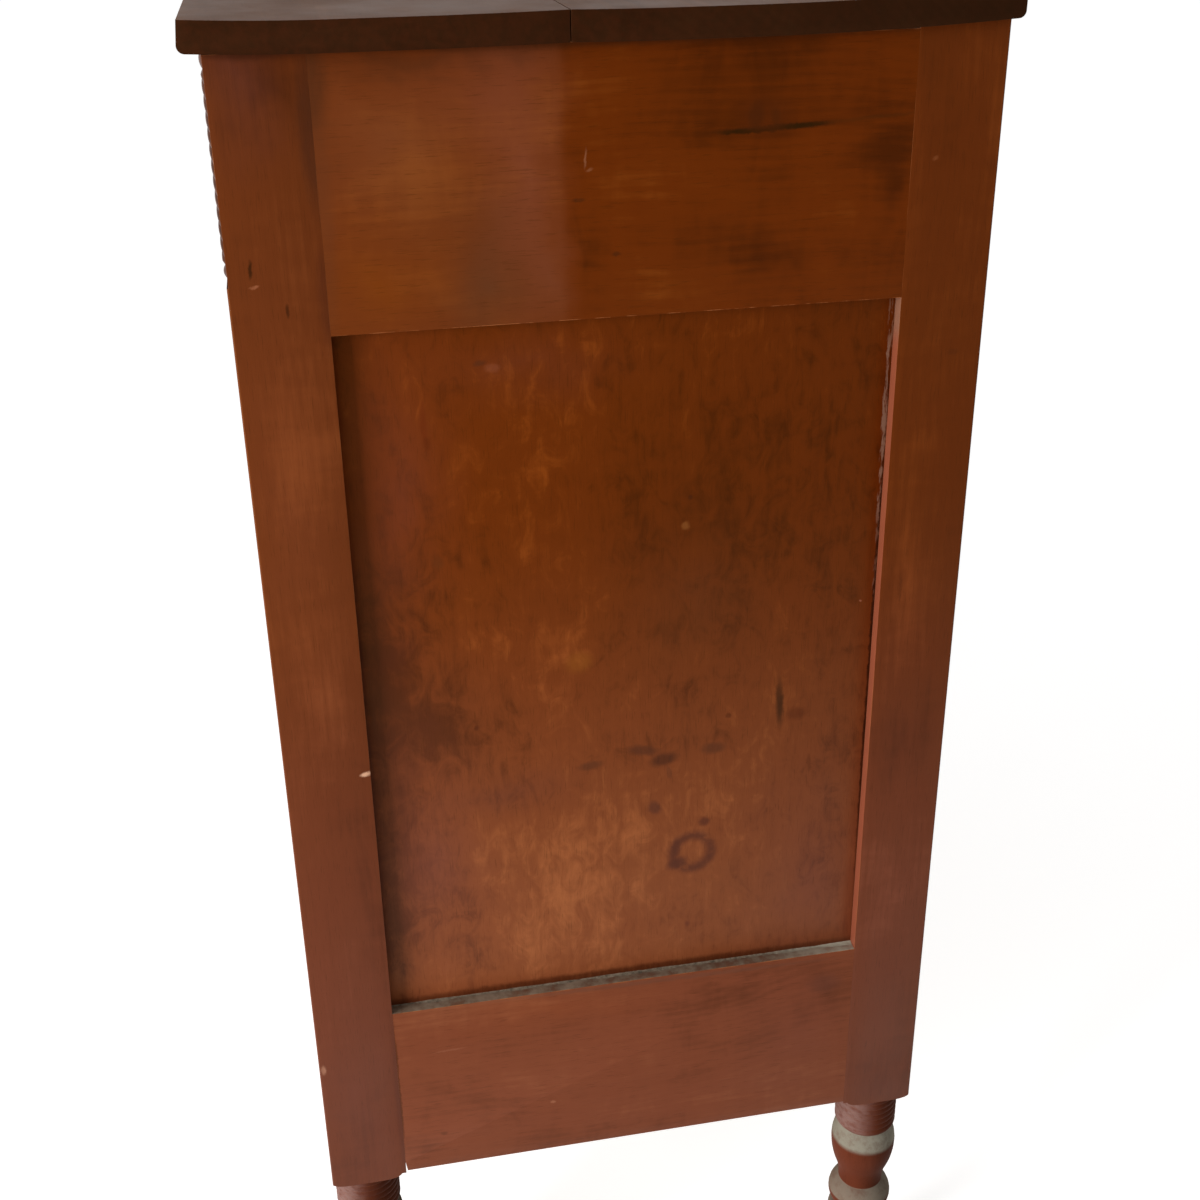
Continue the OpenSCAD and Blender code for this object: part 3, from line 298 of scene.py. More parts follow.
FRONT_AREAS = (
    (-214, 1066, 44, 60, -0.50), (-205, 1000, 20, 80, 0.08), (-212, 830, 40, 110, 0.18),
    (-212, 660, 36, 60, 0.16), (-190, 480, 14, 160, -0.20), (-214, 260, 50, 80, -0.30))
FRONT_HAZES = (
    (-226, 1075, 26, 60, (92, 46, 36), 0.50), (-214, 300, 50, 120, (100, 54, 44), 0.50),
    (-214, 800, 50, 140, (116, 58, 34), 0.35))
FRONT_MARKS = (
    (-228, 961, 1.8, 8, -6, (40, 14, 4), 0.90), (-208, 934, 1.6, 6, 0, (46, 16, 6), 0.80),
    (-226.5, 950, 4, 1.4, 10, (150, 90, 60), 0.60), (-186.5, 595, 5.5, 2.6, 8, (214, 164, 132), 0.95),
    # The mark at z 1087 is painted shadow under the top's overhang.
    (-240, 330, 3, 6, 0, (170, 120, 96), 0.60), (-213, 1087, 50, 7, 0, (56, 24, 14), 0.70),
    # The marks at y -184 are painted shade along the joint with the upper rail.
    (-184, 1040, 11, 62, 0, (60, 28, 18), 0.60), (-184, 940, 7, 44, 0, (66, 26, 16), 0.45),
    (-184, 290, 5, 110, 0, (80, 38, 30), 0.45))
BACK_AREAS = (
    (212, 575, 34, 42, -0.30), (205, 1030, 14, 90, 0.08), (222, 1060, 40, 30, -0.10),
    (215, 435, 40, 80, 0.26), (236, 700, 10, 160, -0.10), (206, 700, 10, 120, 0.16),
    (222, 235, 50, 50, -0.30))
BACK_HAZES = (
    (226, 300, 50, 120, (94, 48, 36), 0.50), (212, 575, 30, 36, (84, 38, 24), 0.35),
    (222, 226, 50, 40, (82, 40, 30), 0.50))
BACK_MARKS = (
    (232, 876, 6, 3, 0, (70, 28, 10), 0.40), (208, 1006, 3, 2, 30, (130, 72, 40), 0.40),
    (207, 700, 1.6, 18, 0, (74, 30, 12), 0.50))
# The ring-shaped stain's place, radius, width, tone and share
PANEL_RING = (57, 485, 15.0, 15, (70, 32, 26), 0.80)

# Fades give the y of a line, half the width of its blur, a tone and a share. The tone lies in front of
# the line, or behind it where the width is below 0.
# On the upper rail this is a painted reflection: a lighter tone in front of its line.
UPPER_REFLECTION = (-34.0, 4.0, (112, 58, 32), 0.26)
TOP_FADE = (70.0, -180.0, (23, 8, 3), 0.66)

# Edge of the back post beside the panel, which faces the window: a painted highlight, and a waxy tone higher
# up
REVEAL_HIGHLIGHT_TONE = (138, 74, 52)
REVEAL_WAX = (132, 92, 72)
REVEAL_FROM_Z = 0.377
REVEAL_SHARE = 0.8
WAX_FROM_Z = 0.880
WAX_BLUR = 0.02

# Legs: painted shade towards the back, away from the window, and on the drum towards the front a dusty film
# that is also a painted sheen
LEG_TOP_Z = 0.205
LEG_TOP_BLUR = 0.001
DRUM_FOOT_Z = 0.1644
BALL_TOP_Z = 0.095
LEG_SHADE_TONE = (44, 21, 13)
LEG_SHADE = (0.05, 0.62)
DRUM_FILM_AND_SHEEN = (158, 134, 128)
FILM_AND_SHEEN_SHARE = 0.42
FORWARD = (0.1, -1.0, 0.0)

# How far a surface has to face up to hold no dust and all of it, and what differs on the legs
DUST_FACING = (0.22, 0.72)
LEG_DUST_FACING = (0.02, 0.16)
LEG_DUST_SHADE = 0.86
LOW_DUST_SHARE = 0.62
LOW_DUST_BLUR = 0.02

# Figure of the wood, as scales of noise across and along the grain
WANDER = (3.0, 2.2)
WARP = (26.0, 4.0)
STREAKS = (330.0, 9.0)
PORES = (1300.0, 70.0)
CLOUDS = (15.0, 6.0)
CURL = (20.0, 62.0)
FLAME = (60.0, 36.0)
WAVES = (30.0, 7.0)
CLOUD_SHARE = 1.5
RING_SHARE = 0.3
CURL_SHARE = 0.45
# Growth rings, in metres: spacing, distance of the pith, and how far they wander and warp
RING_PITCH = 0.0062
PITH_AWAY = 0.13
RING_WANDER = 0.10
RING_WARP = 0.012
# How much of a solid's seed moves its wood along each axis
SEED_SHIFT = (1.0, 1.7, 2.3)

# Roughness that dull patches, end grain, legs and dust add, and the share of gloss that the legs lost
DULL_ROUGH = 0.16
END_ROUGH = 0.25
LEG_ROUGH = 0.2
DUST_ROUGH = 0.5
LEG_GLOSS_LOSS = 0.8
# Relief of streaks, pores and planing waves, and its height, on finished and on bare wood
STREAK_RELIEF = 0.2
WAVE_RELIEF = 1.6
PORE_RELIEF = 0.1
BARE_PORE_RELIEF = 0.22
RELIEF_H = 0.00035
BARE_RELIEF_H = 0.0006

# Shares of the tones laid over the wood
FLECK_SHADE = 0.6
END_RING_SHADE = 0.72
END_SHARE = 0.9
WORN_SHARE = 0.75

# Unevenness of soft stains, small marks and fades: reach, size, and the noise's detail and roughness
LOOSE = (0.05, 0.05, 4.0, 0.55)
TIGHT = (0.004, 0.006)
FADE_EDGE = (0.004, 0.02)
# Share of a mark's half size over which its edge fades, and how far a soft spot reaches past its size
MARK_CORE = 0.7
FLAKE_CORE = 0.35
SOFT_REACH = 1.6
# X of the right-hand end
END_X = 0.52


def grain(axis, across, along):
    """Scale of a texture that is fine across the grain and long along it."""
    return tuple(along if k == axis else across for k in range(3))


def on_end(y, z):
    return (END_X, y * MM, z * MM)


def half_sizes(wide, high, reach=1.0):
    """Half sizes of a spot on the end, which reaches right through the piece."""
    return (1.0, wide * reach * MM, high * reach * MM)


def seeded(s):
    """The place, moved by the solid's seed, so that no two boards have the same figure."""
    seed = s.attribute("seed")
    moves = {axis: s.math("MULTIPLY", seed, share) for axis, share in enumerate(SEED_SHIFT)}
    return s.vector("ADD", s.place, s.node("ShaderNodeCombineXYZ", moves).outputs[0])


def figured(s, axis, place, ring, mottle, figure, streak):
    """Lightness of the wood, about 0.5 in the middle, and the fine textures that it is made of."""
    wander = s.noise(place, grain(axis, *WANDER), 2.0)
    warp = s.noise(place, grain(axis, *WARP), 3.0)
    flat = s.vector("MULTIPLY", place, grain(axis, 1.0, 0.0))
    pith = s.vector("ADD", flat, grain(axis, PITH_AWAY, 0.0))
    depth = s.math("MULTIPLY_ADD", wander, RING_WANDER, s.vector("LENGTH", pith))
    depth = s.math("MULTIPLY_ADD", warp, RING_WARP, depth)
    rings = s.math("SINE", s.math("MULTIPLY", depth, 2 * math.pi / RING_PITCH))
    rings = s.stretch(rings, -1.0, 1.0)
    streaks = s.noise(place, grain(axis, *STREAKS), 5.0, 0.6)
    pores = s.noise(place, grain(axis, *PORES), 2.0, 0.6)
    clouds = s.noise(place, grain(axis, *CLOUDS), 4.0, 0.62, 0.6)
    curl = s.noise(place, grain(axis, *CURL), 2.0, 0.5, 0.8)
    value = s.add_scaled(0.5, clouds, CLOUD_SHARE * mottle)
    value = s.add_scaled(value, streaks, streak)
    value = s.add_scaled(value, rings, RING_SHARE * ring)
    value = s.add_scaled(value, curl, CURL_SHARE * mottle)
    if figure:
        flame = s.noise(place, grain(axis, *FLAME), 6.0, 0.65, 1.2)
        value = s.add_scaled(value, flame, figure)
    return value, streaks, pores


def lightened(s, value, loose, areas):
    """The lightness, raised or lowered over soft areas of the end; some lowered areas are painted shade."""
    for y, z, wide, high, amount in areas:
        spot = s.spot(loose, on_end(y, z), half_sizes(wide, high, SOFT_REACH))
        value = s.math("MULTIPLY_ADD", spot, amount, value)
    return value


def toned(s, value, height, tones):
    """The tone of a lightness, from the tones for high and for low on the chest."""
    low = s.stretch(height, HIGH_Z, LOW_Z)
    dark, middle, light = [s.mix(low, high_tone, low_tone) for high_tone, low_tone in zip(*tones)]
    tone = s.mix(s.stretch(value, 0.0, 0.5), dark, middle)
    return s.mix(s.stretch(value, 0.5, 1.0), tone, light)


def faded(s, tone, fade):
    """The tone, with another one laid over it on one side of a line across the end."""
    edge, width, other, amount = fade
    along = s.part(s.shifted(*FADE_EDGE), 1)
    return s.mix(s.stretch(along, (edge + width) * MM, (edge - width) * MM, 0.0, amount), tone, other)


def hazed_and_shaded(s, tone, loose, hazes_and_shade):
    """The tone under soft hazes of other tones; one on the right panel is painted shadow."""
    for y, z, wide, high, haze, amount in hazes_and_shade:
        spot = s.spot(loose, on_end(y, z), half_sizes(wide, high, SOFT_REACH))
        tone = s.mix(s.math("MULTIPLY", spot, amount), tone, haze)
    return tone


def marked(s, tone, marks, flakes, stain_ring):
    """The tone with small marks, some of them painted shade, flaked finish and a ring-shaped stain, all with
    uneven edges.
    """
    tight = s.shifted(*TIGHT)
    grit = s.noise(s.place, (400.0, 400.0, 60.0), 4.0, 0.6)
    for y, z, wide, high, turn, mark, amount in marks:
        spot = s.spot(tight, on_end(y, z), half_sizes(wide, high), turn, MARK_CORE)
        share = s.math("MULTIPLY", s.math("MULTIPLY_ADD", grit, 0.7, 0.65), amount)
        tone = s.mix(s.math("MULTIPLY", spot, share, clamp=True), tone, mark)
    for y, z, wide, high, flake, amount in flakes:
        broken = s.stretch(s.noise(s.place, (90.0, 260.0, 42.0), 4.0, 0.7), 0.44, 0.56)
        spot = s.spot(tight, on_end(y, z), half_sizes(wide, high), 0.0, FLAKE_CORE)
        tone = s.mix(s.math("MULTIPLY", s.math("MULTIPLY", spot, broken), amount), tone, flake)
    if stain_ring:
        y, z, radius, width, stain, amount = stain_ring
        broken = s.stretch(s.noise(s.place, 60.0, 3.0, 0.6), 0.30, 0.50, 0.35, 1.0)
        line = s.ring(tight, on_end(y, z), radius * MM, width * MM)
        tone = s.mix(s.math("MULTIPLY", s.math("MULTIPLY", line, broken), amount), tone, stain)
    return tone


def end_grain(s, axis, place, end_tone, end_fade):
    """Tone of the faces across the board, and 1 on those faces."""
    facing = s.vector("DOT_PRODUCT", s.normal, grain(axis, 0.0, 1.0))
    across = s.stretch(s.math("ABSOLUTE", facing), 0.75, 0.95)
    rings = s.noise(place, 160.0, 4.0, 0.6, 0.4)
    tone = s.mix(s.stretch(rings, 0.3, 0.7), shaded(end_tone, END_RING_SHADE), end_tone)
    if end_fade:
        tone = faded(s, tone, end_fade)
    return tone, across


def highlighted_reveal(s, tone, height):
    """The tone, with a painted highlight on the edge beside the panel, which faces the window, and waxy
    higher up.
    """
    beside = s.stretch(s.vector("DOT_PRODUCT", s.normal, (0.0, -1.0, 0.0)), 0.8, 0.95, 0.0, REVEAL_SHARE)
    beside = s.math("MULTIPLY", beside, s.above(height, REVEAL_FROM_Z))
    waxed = s.stretch(height, WAX_FROM_Z, WAX_FROM_Z + WAX_BLUR)
    return s.mix(beside, tone, s.mix(waxed, REVEAL_HIGHLIGHT_TONE, REVEAL_WAX))


def worn_arrises(s, tone, edge_tone):
    """The tone, with arrises rubbed paler by use."""
    patchy = s.noise(s.place, (70.0, 70.0, 22.0), 4.0, 0.65)
    worn = s.math("MULTIPLY", s.attribute("edge"), s.stretch(patchy, 0.45, 0.62), clamp=True)
    return s.mix(s.math("MULTIPLY", worn, WORN_SHARE), tone, edge_tone)


def leg_shade_and_sheen(s, tone, height, on_leg):
    """The tone, with painted shade on the legs' back and, on the drum's front, a dusty film that is also a
    painted sheen.
    """
    forward = s.vector("DOT_PRODUCT", s.normal, FORWARD)
    back_shade = s.stretch(forward, 0.9, -0.6, *LEG_SHADE)
    tone = s.mix(s.math("MULTIPLY", on_leg, back_shade), tone, LEG_SHADE_TONE)
    patchy = s.noise(s.place, (120.0, 120.0, 240.0), 4.0, 0.65)
    film_and_sheen = s.stretch(forward, 0.0, 0.9, 0.0, FILM_AND_SHEEN_SHARE)
    film_and_sheen = s.math("MULTIPLY", film_and_sheen, s.stretch(patchy, 0.3, 0.6, 0.35, 1.0))
    on_drum = s.math("MULTIPLY", on_leg, s.above(height, DRUM_FOOT_Z))
    return s.mix(s.math("MULTIPLY", film_and_sheen, on_drum), tone, DRUM_FILM_AND_SHEEN)


def dust_tone(s, patchy, shade=1.0):
    dark, middle, light = [shaded(tone, shade) for tone in DUST_TONES]
    grey = s.mix(s.stretch(patchy, 0.3, 0.7), dark, middle)
    return s.mix(s.stretch(s.part(s.place, 1), *DUST_BACK_Y, 0.0, DUST_BACK_SHARE), grey, light)


def dusted(s, tone, height, dust, turned):
    """The tone under dust, which lies where the surface faces up, and the dust's share."""
    facing = LEG_DUST_FACING if turned else DUST_FACING
    patchy = s.noise(s.place, 60.0, 5.0, 0.7)
    upward = s.stretch(s.part(s.normal, 2), *facing)
    lies = s.math("MULTIPLY", upward, s.stretch(patchy, 0.30, 0.56, 0.55, 1.0))
    if turned:
        lies = s.math("MULTIPLY", lies, s.below(height, DRUM_FOOT_Z))
    lies = s.math("MULTIPLY", lies, dust)
    if turned:
        low = s.stretch(height, BALL_TOP_Z, BALL_TOP_Z + LOW_DUST_BLUR, LOW_DUST_SHARE, 1.0)
        lies = s.math("MULTIPLY", lies, low)
    return s.mix(lies, tone, dust_tone(s, patchy, LEG_DUST_SHADE if turned else 1.0)), lies


def wood(name, axis, tones, ring=0.35, finish=0.34, mottle=0.5, figure=0.0, streak=0.28, speck=0.25,
         gloss=0.2, end_tone=(46, 22, 12), edge_tone=(150, 88, 50), bare=False, turned=False, reveal=False,
         dust=0.0, areas=(), hazes_and_shade=(), marks=(), flakes=(), stain_ring=None, fade=None, end_fade=None):
    """Wood whose grain runs along one axis. Bare wood has no varnish, and a turned post has a leg."""
    s = Shader(name)
    height = s.part(s.place, 2)
    place = seeded(s)
    value, streaks, pores = figured(s, axis, place, ring, mottle, figure, streak)
    loose = s.shifted(*LOOSE) if areas or hazes_and_shade else None
    tone = toned(s, lightened(s, value, loose, areas), height, tones)
    # On the right upper rail the fade is a painted reflection over the front part.
    if fade:
        tone = faded(s, tone, fade)
    tone = hazed_and_shaded(s, tone, loose, hazes_and_shade)
    flecks = s.stretch(pores, 0.30, 0.42, speck, 0.0)
    tone = s.mix(flecks, tone, shaded(tones[0][0], FLECK_SHADE))
    if marks:
        tone = marked(s, tone, marks, flakes, stain_ring)
    end_colour, across = end_grain(s, axis, place, end_tone, end_fade)
    tone = s.mix(s.math("MULTIPLY", across, END_SHARE), tone, end_colour)
    if reveal:
        # Painted highlight on the back post's edge that faces the window.
        tone = highlighted_reveal(s, tone, height)
    tone = worn_arrises(s, tone, edge_tone)

    dull = s.noise(s.place, 9.0, 4.0, 0.65)
    rough = s.stretch(dull, 0.3, 0.7, finish, finish + DULL_ROUGH)
    rough = s.math("MULTIPLY_ADD", across, END_ROUGH, rough)
    if turned:
        on_leg = s.below(height, LEG_TOP_Z, LEG_TOP_BLUR)
        # Painted shade on the legs' back, and dust with painted sheen on the drum's front.
        tone = leg_shade_and_sheen(s, tone, height, on_leg)
        rough = s.math("MULTIPLY_ADD", on_leg, LEG_ROUGH, rough)
        gloss = s.math("MULTIPLY_ADD", on_leg, -LEG_GLOSS_LOSS * gloss, gloss)
    if dust:
        tone, lies = dusted(s, tone, height, dust, turned)
        rough = s.math("MULTIPLY_ADD", lies, DUST_ROUGH, rough)
    s.coat({"Base Color": tone, "Roughness": rough, "Specular IOR Level": gloss,
            "Specular Tint": NO_TINT if bare else VARNISH})
    pitted = s.math("MULTIPLY", pores, BARE_PORE_RELIEF if bare else PORE_RELIEF)
    relief = s.math("MULTIPLY_ADD", streaks, STREAK_RELIEF, pitted)
    relief = s.math("MULTIPLY_ADD", s.noise(s.place, grain(axis, *WAVES), 2.0), WAVE_RELIEF, relief)
    s.bump(relief, BARE_RELIEF_H if bare else RELIEF_H)
    return s.material


TARNISH_SCALE = 160.0
PIT_SCALE = 1440.0
TARNISH_ROUGH = 0.22
PIT_RELIEF = 0.5
METAL_RELIEF_H = 0.00012


def metal(name, bright, dark, rough):
    """Cast or stamped metal with tarnish."""
    s = Shader(name)
    tarnish = s.noise(s.place, TARNISH_SCALE, 6.0, 0.65, 0.3)
    pits = s.noise(s.place, PIT_SCALE, 3.0, 0.6)
    cover = s.stretch(tarnish, 0.36, 0.66)
    s.coat({"Base Color": s.mix(cover, bright, dark), "Metallic": 1.0,
            "Roughness": s.math("MULTIPLY_ADD", cover, TARNISH_ROUGH, rough)})
    s.bump(s.math("MULTIPLY_ADD", pits, PIT_RELIEF, tarnish), METAL_RELIEF_H)
    return s.material


LINT_SCALE = 220.0
LINT_RELIEF_H = 0.0006


def lint(name):
    """Old dust and lint that has gathered in a corner."""
    s = Shader(name)
    clumps = s.noise(s.place, LINT_SCALE, 5.0, 0.7)
    s.coat({"Base Color": dust_tone(s, clumps), "Roughness": 1.0, "Specular IOR Level": 0.05})
    s.bump(clumps, LINT_RELIEF_H)
    return s.material


def make_materials():
    poplar = {"mottle": 0.4, "finish": 0.72, "speck": 0.5, "end_tone": (120, 94, 62), "gloss": 0.25,
              "edge_tone": (190, 165, 122), "bare": True, "dust": 0.25}
    post = {"mottle": 0.6, "finish": 0.36, "ring": 0.15, "dust": 0.95, "turned": True}
    end_rail = {"mottle": 0.8, "finish": 0.34, "ring": 0.2, "dust": 0.9}
    panel = {"mottle": 0.6, "finish": 0.34, "ring": 0.12, "figure": 1.0, "streak": 0.15}
    return {
        "post": wood("post", 2, POST_TONES, **post),
        "front_right_post": wood("front_right_post", 2, POST_TONES, areas=FRONT_AREAS, hazes_and_shade=FRONT_HAZES,
                                 marks=FRONT_MARKS, **post),
        "back_right_post": wood("back_right_post", 2, BACK_TONES, areas=BACK_AREAS, hazes_and_shade=BACK_HAZES,
                                marks=BACK_MARKS, reveal=True, **post),
        "rope": wood("rope", 2, ROPE_TONES, mottle=0.6, finish=0.3, ring=0.15, edge_tone=(112, 62, 36)),
        "end_rail": wood("end_rail", 1, RAIL_TONES, **end_rail),
        "right_upper_rail": wood("right_upper_rail", 1, RAIL_TONES, areas=UPPER_AREAS, hazes_and_shade=UPPER_HAZES,
                                 marks=UPPER_MARKS, fade=UPPER_REFLECTION, **end_rail),
        "right_lower_rail": wood("right_lower_rail", 1, RAIL_TONES, areas=LOWER_AREAS, hazes_and_shade=LOWER_HAZES,
                                 marks=LOWER_MARKS, **end_rail),
        "panel": wood("panel", 2, PANEL_TONES, **panel),
        "right_panel": wood("right_panel", 2, PANEL_TONES, areas=PANEL_AREAS, hazes_and_shade=PANEL_HAZES_AND_SHADE,
                            marks=PANEL_MARKS, flakes=PANEL_FLAKES, stain_ring=PANEL_RING, **panel),
        "rail": wood("rail", 0, FRONT_TONES, mottle=0.6, dust=0.5),
        "front": wood("front", 0, FRONT_TONES, mottle=0.8, ring=0.3, finish=0.3),
        "top": wood("top", 0, TOP_TONES, mottle=0.8, finish=0.36, gloss=0.08, edge_tone=(86, 50, 30),
                    end_tone=(43, 15, 5), end_fade=TOP_FADE),
        "poplar_x": wood("poplar_x", 0, POPLAR_TONES, **poplar),
        "poplar_y": wood("poplar_y", 1, POPLAR_TONES, **poplar),
        "brass": metal("brass", (184, 144, 78), (92, 66, 36), 0.30),
        "iron": metal("iron", (92, 86, 80), (62, 42, 30), 0.5),
        "lint": lint("lint"),
    }


MATERIALS = make_materials()
SHARP = math.radians(32)


def islands(mesh):
    """Lists the separate solids of a mesh, as lists of vertices."""
    left = set(mesh.verts)
    found = []
    while left:
        group = []
        reach = [left.pop()]
        while reach:
            vertex = reach.pop()
            group.append(vertex)
            for edge in vertex.link_edges:
                other = edge.other_vert(vertex)
                if other in left:
                    left.remove(other)
                    reach.append(other)
        found.append(group)
    found.sort(key=lambda group: tuple(round(c, 4) for c in min((v.co for v in group), key=tuple)))
    return found


def loft(mesh, rows):
    """Skins closed rows of vertices, with a flat face at each end."""
    for one, two in zip(rows, rows[1:]):
        for k in range(len(one)):
            n = (k + 1) % len(one)
            mesh.faces.new((one[k], one[n], two[n], two[k]))
    mesh.faces.new(list(reversed(rows[0])))
    mesh.faces.new(rows[-1])
    bmesh.ops.recalc_face_normals(mesh, faces=mesh.faces)


def new_piece(name, mesh, body, material):
    """Turns a bmesh into a piece that rides on a body."""
    data = bpy.data.meshes.new(name)
    mesh.to_mesh(data)
    mesh.free()
    data.materials.clear()
    data.materials.append(material)
    for polygon in data.polygons:
        polygon.use_smooth = True
        polygon.material_index = 0
    data.set_sharp_from_angle(angle=SHARP)
    piece = bpy.data.objects.new(name, data)
    bpy.context.scene.collection.objects.link(piece)
    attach(piece, body)
    return piece


# Joint of the right lower rail and the front post, which has opened at its lower end
JOINTS_Y = (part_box("front_right_post")[1].y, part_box("back_right_post")[0].y)
GAP_W = 1.3 * MM
GAP_H = 9.0 * MM
NEAR = 0.1 * MM


def in_joint(node, edge):
    """Whether an arris of an end rail lies against a post, where nothing has worn it."""
    if not node.endswith(("upper_rail", "lower_rail")):
        return False
    return any(all(abs(vertex.co.y - y) < NEAR for vertex in edge.verts) for y in JOINTS_Y)


def open_joint(mesh):
    """Draws the rail's lower front corner back from the post."""
    foot = min(vertex.co.z for vertex in mesh.verts)
    everything = mesh.verts[:] + mesh.edges[:] + mesh.faces[:]
    bmesh.ops.bisect_plane(mesh, geom=everything, plane_co=(0.0, 0.0, foot + GAP_H), plane_no=(0.0, 0.0, 1.0))
    for vertex in mesh.verts:
        if abs(vertex.co.y - JOINTS_Y[0]) < NEAR and vertex.co.z < foot + NEAR:
            vertex.co.y += GAP_W


# Arrises softened by use, and how close points are and how flat faces are to be made one
ARRIS_W = 0.6 * MM
ARRIS_STEPS = 2
ARRIS_PROFILE = 0.6
SAME_POINT = 0.000002
SAME_PLANE = math.radians(0.3)
SEED_RANGE = 9.0


def worn_copy(node, material):
    """A copy of a CAD node whose arrises are softened by use, and which replaces it."""
    mesh = bmesh.new()
    mesh.from_mesh(frame["nodes"][node].data)
    bmesh.ops.remove_doubles(mesh, verts=mesh.verts, dist=SAME_POINT)
    bmesh.ops.dissolve_limit(mesh, angle_limit=SAME_PLANE, verts=mesh.verts, edges=mesh.edges)
    if node == "right_lower_rail":
        open_joint(mesh)
    mesh.normal_update()
    seed = mesh.verts.layers.float.new("seed")
    rng = random.Random(node)
    for group in islands(mesh):
        value = rng.uniform(0.0, SEED_RANGE)
        for vertex in group:
            vertex[seed] = value
    corners = [e for e in mesh.edges if len(e.link_faces) == 2 and e.calc_face_angle() > SHARP]
    corners = [e for e in corners if not in_joint(node, e)]
    made = bmesh.ops.bevel(mesh, geom=corners, offset=ARRIS_W, offset_type="OFFSET", segments=ARRIS_STEPS,
                           profile=ARRIS_PROFILE, affect="EDGES", clamp_overlap=True)
    edge = mesh.loops.layers.float_color.new("edge")
    for faces, wear in ((mesh.faces, 0.0), (made["faces"], 1.0)):
        for face in faces:
            for loop in face.loops:
                loop[edge] = (wear, wear, wear, 1.0)
    piece = new_piece(node + "_worn", mesh, BODY_OF[node], material)
    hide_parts(node)


def material_of(node):
    """Name of a node's material: its own, or that of its kind."""
    if node in MATERIALS:
        return node
    if node.startswith("top_screws"):
        return "iron"
    if node.startswith("top_"):
        return "top"
    if "rope" in node:
        return "rope"
    if "post" in node:
        return "post"
    if "panel" in node:
        return "panel"
    if node.endswith(("upper_rail", "lower_rail")):
        return "end_rail"
    if node.startswith("drawer_rail") or node.startswith("front_"):
        return "rail"
    if node.endswith("_front"):
        return "front"
    if node.endswith("_side") or node.startswith(("runners", "kickers")):
        return "poplar_y"
    if node.startswith("back_") or node.endswith(("_back", "_bottom")):
        return "poplar_x"
    return "brass"


def dress_nodes():
    """Puts metal on the fittings and a worn copy over each wooden piece but the rope columns."""
    for node, source in frame["nodes"].items():
        kind = material_of(node)
        if kind in ("brass", "iron"):
            source.data.materials.clear()
            source.data.materials.append(MATERIALS[kind])
        elif kind != "rope":
            worn_copy(node, MATERIALS[kind])


# Rope-turned split column
STRANDS = 8
STRAND_PITCH = 9.3 * MM
STRAND_DEPTH = 1.5 * MM
STRAND_EASE = 3.0 * MM
HEAD_H = 11.0 * MM
FOOT_H = 8.0 * MM
RING_STEPS = 8
ROPE_STEP = 0.75 * MM
ROPE_ANGLES = 100
# How worn the crests of the strands and of the rings are, and how narrow the strands' crests
CREST_WEAR = 0.8
CREST_NARROW = 2.4
RING_WEAR = 0.5


def rope_rows(low_z, high_z):
    """Each row's height, and its place from -1 to 1 on a turned ring, or None on the rope."""
    rope_low, rope_high = low_z + FOOT_H, high_z - HEAD_H
    along = [2 * k / RING_STEPS - 1 for k in range(RING_STEPS + 1)]
    rows = [(low_z + FOOT_H * k / RING_STEPS, along[k]) for k in range(RING_STEPS + 1)]
    steps = round((rope_high - rope_low) / ROPE_STEP)
    rows += [(rope_low + (rope_high - rope_low) * k / steps, None) for k in range(steps + 1)]
    return rows + [(rope_high + HEAD_H * k / RING_STEPS, along[k]) for k in range(RING_STEPS + 1)]


def strand(angle, over_foot, under_head):
    """How deep the rope's surface lies, and how worn it is: most on the strands' crests."""
    turns = STRANDS * angle / (2 * math.pi) + over_foot / STRAND_PITCH
    across = 2 * (turns % 1.0) - 1
    ease = min(1.0, over_foot / STRAND_EASE, under_head / STRAND_EASE)
    wear = CREST_WEAR * max(0.0, 1 - CREST_NARROW * abs(across))
    return STRAND_DEPTH * (1 - ease * (1 - across * across)), wear


def rope_column(node):
    """The half column with its strands, closed by a flat back and flat ends."""
    low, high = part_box(node)
    axis_x = (low.x + high.x) / 2
    radius = (high.x - low.x) / 2
    hand = 1 if axis_x > 0 else -1
    mesh = bmesh.new()
    crest = mesh.verts.layers.float.new("edge")
    rows = []
    for z, along in rope_rows(low.z, high.z):
        row = []
        for k in range(ROPE_ANGLES + 1):
            angle = math.pi * (1 + k / ROPE_ANGLES)
            if along is None:
                depth, wear = strand(angle, z - (low.z + FOOT_H), (high.z - HEAD_H) - z)
            else:
                depth, wear = STRAND_DEPTH * along * along, max(0.0, RING_WEAR - abs(along))
            r = radius - depth
            vertex = mesh.verts.new((axis_x + hand * r * math.cos(angle), high.y + r * math.sin(angle), z))
            vertex[crest] = wear
            row.append(vertex)
        rows.append(row)
    loft(mesh, rows)
    piece = new_piece(node + "_turned", mesh, BODY_OF[node], MATERIALS["rope"])
    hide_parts(node)


# Dust in the corner between an end panel and the ledge of its lower rail, thicker in its back corner
LINT_STEP = 2.0 * MM
LINT_W = 3.4 * MM
LINT_H = 1.0 * MM
LINT_OUTLINE = ((0.0, 0.0), (1.0, 0.0), (0.62, 0.22), (0.3, 0.5), (0.1, 0.85), (0.0, 1.0))
LINT_MIDDLE = 0.62
LINT_LEAST = 0.18
LUMP_SIZE = 0.55
LUMP_SCALE = 60
CLUMP_SIZE = 0.35
CLUMP_SCALE = 300
LINT_CORNER = 0.035
LINT_CORNER_MORE = 0.7


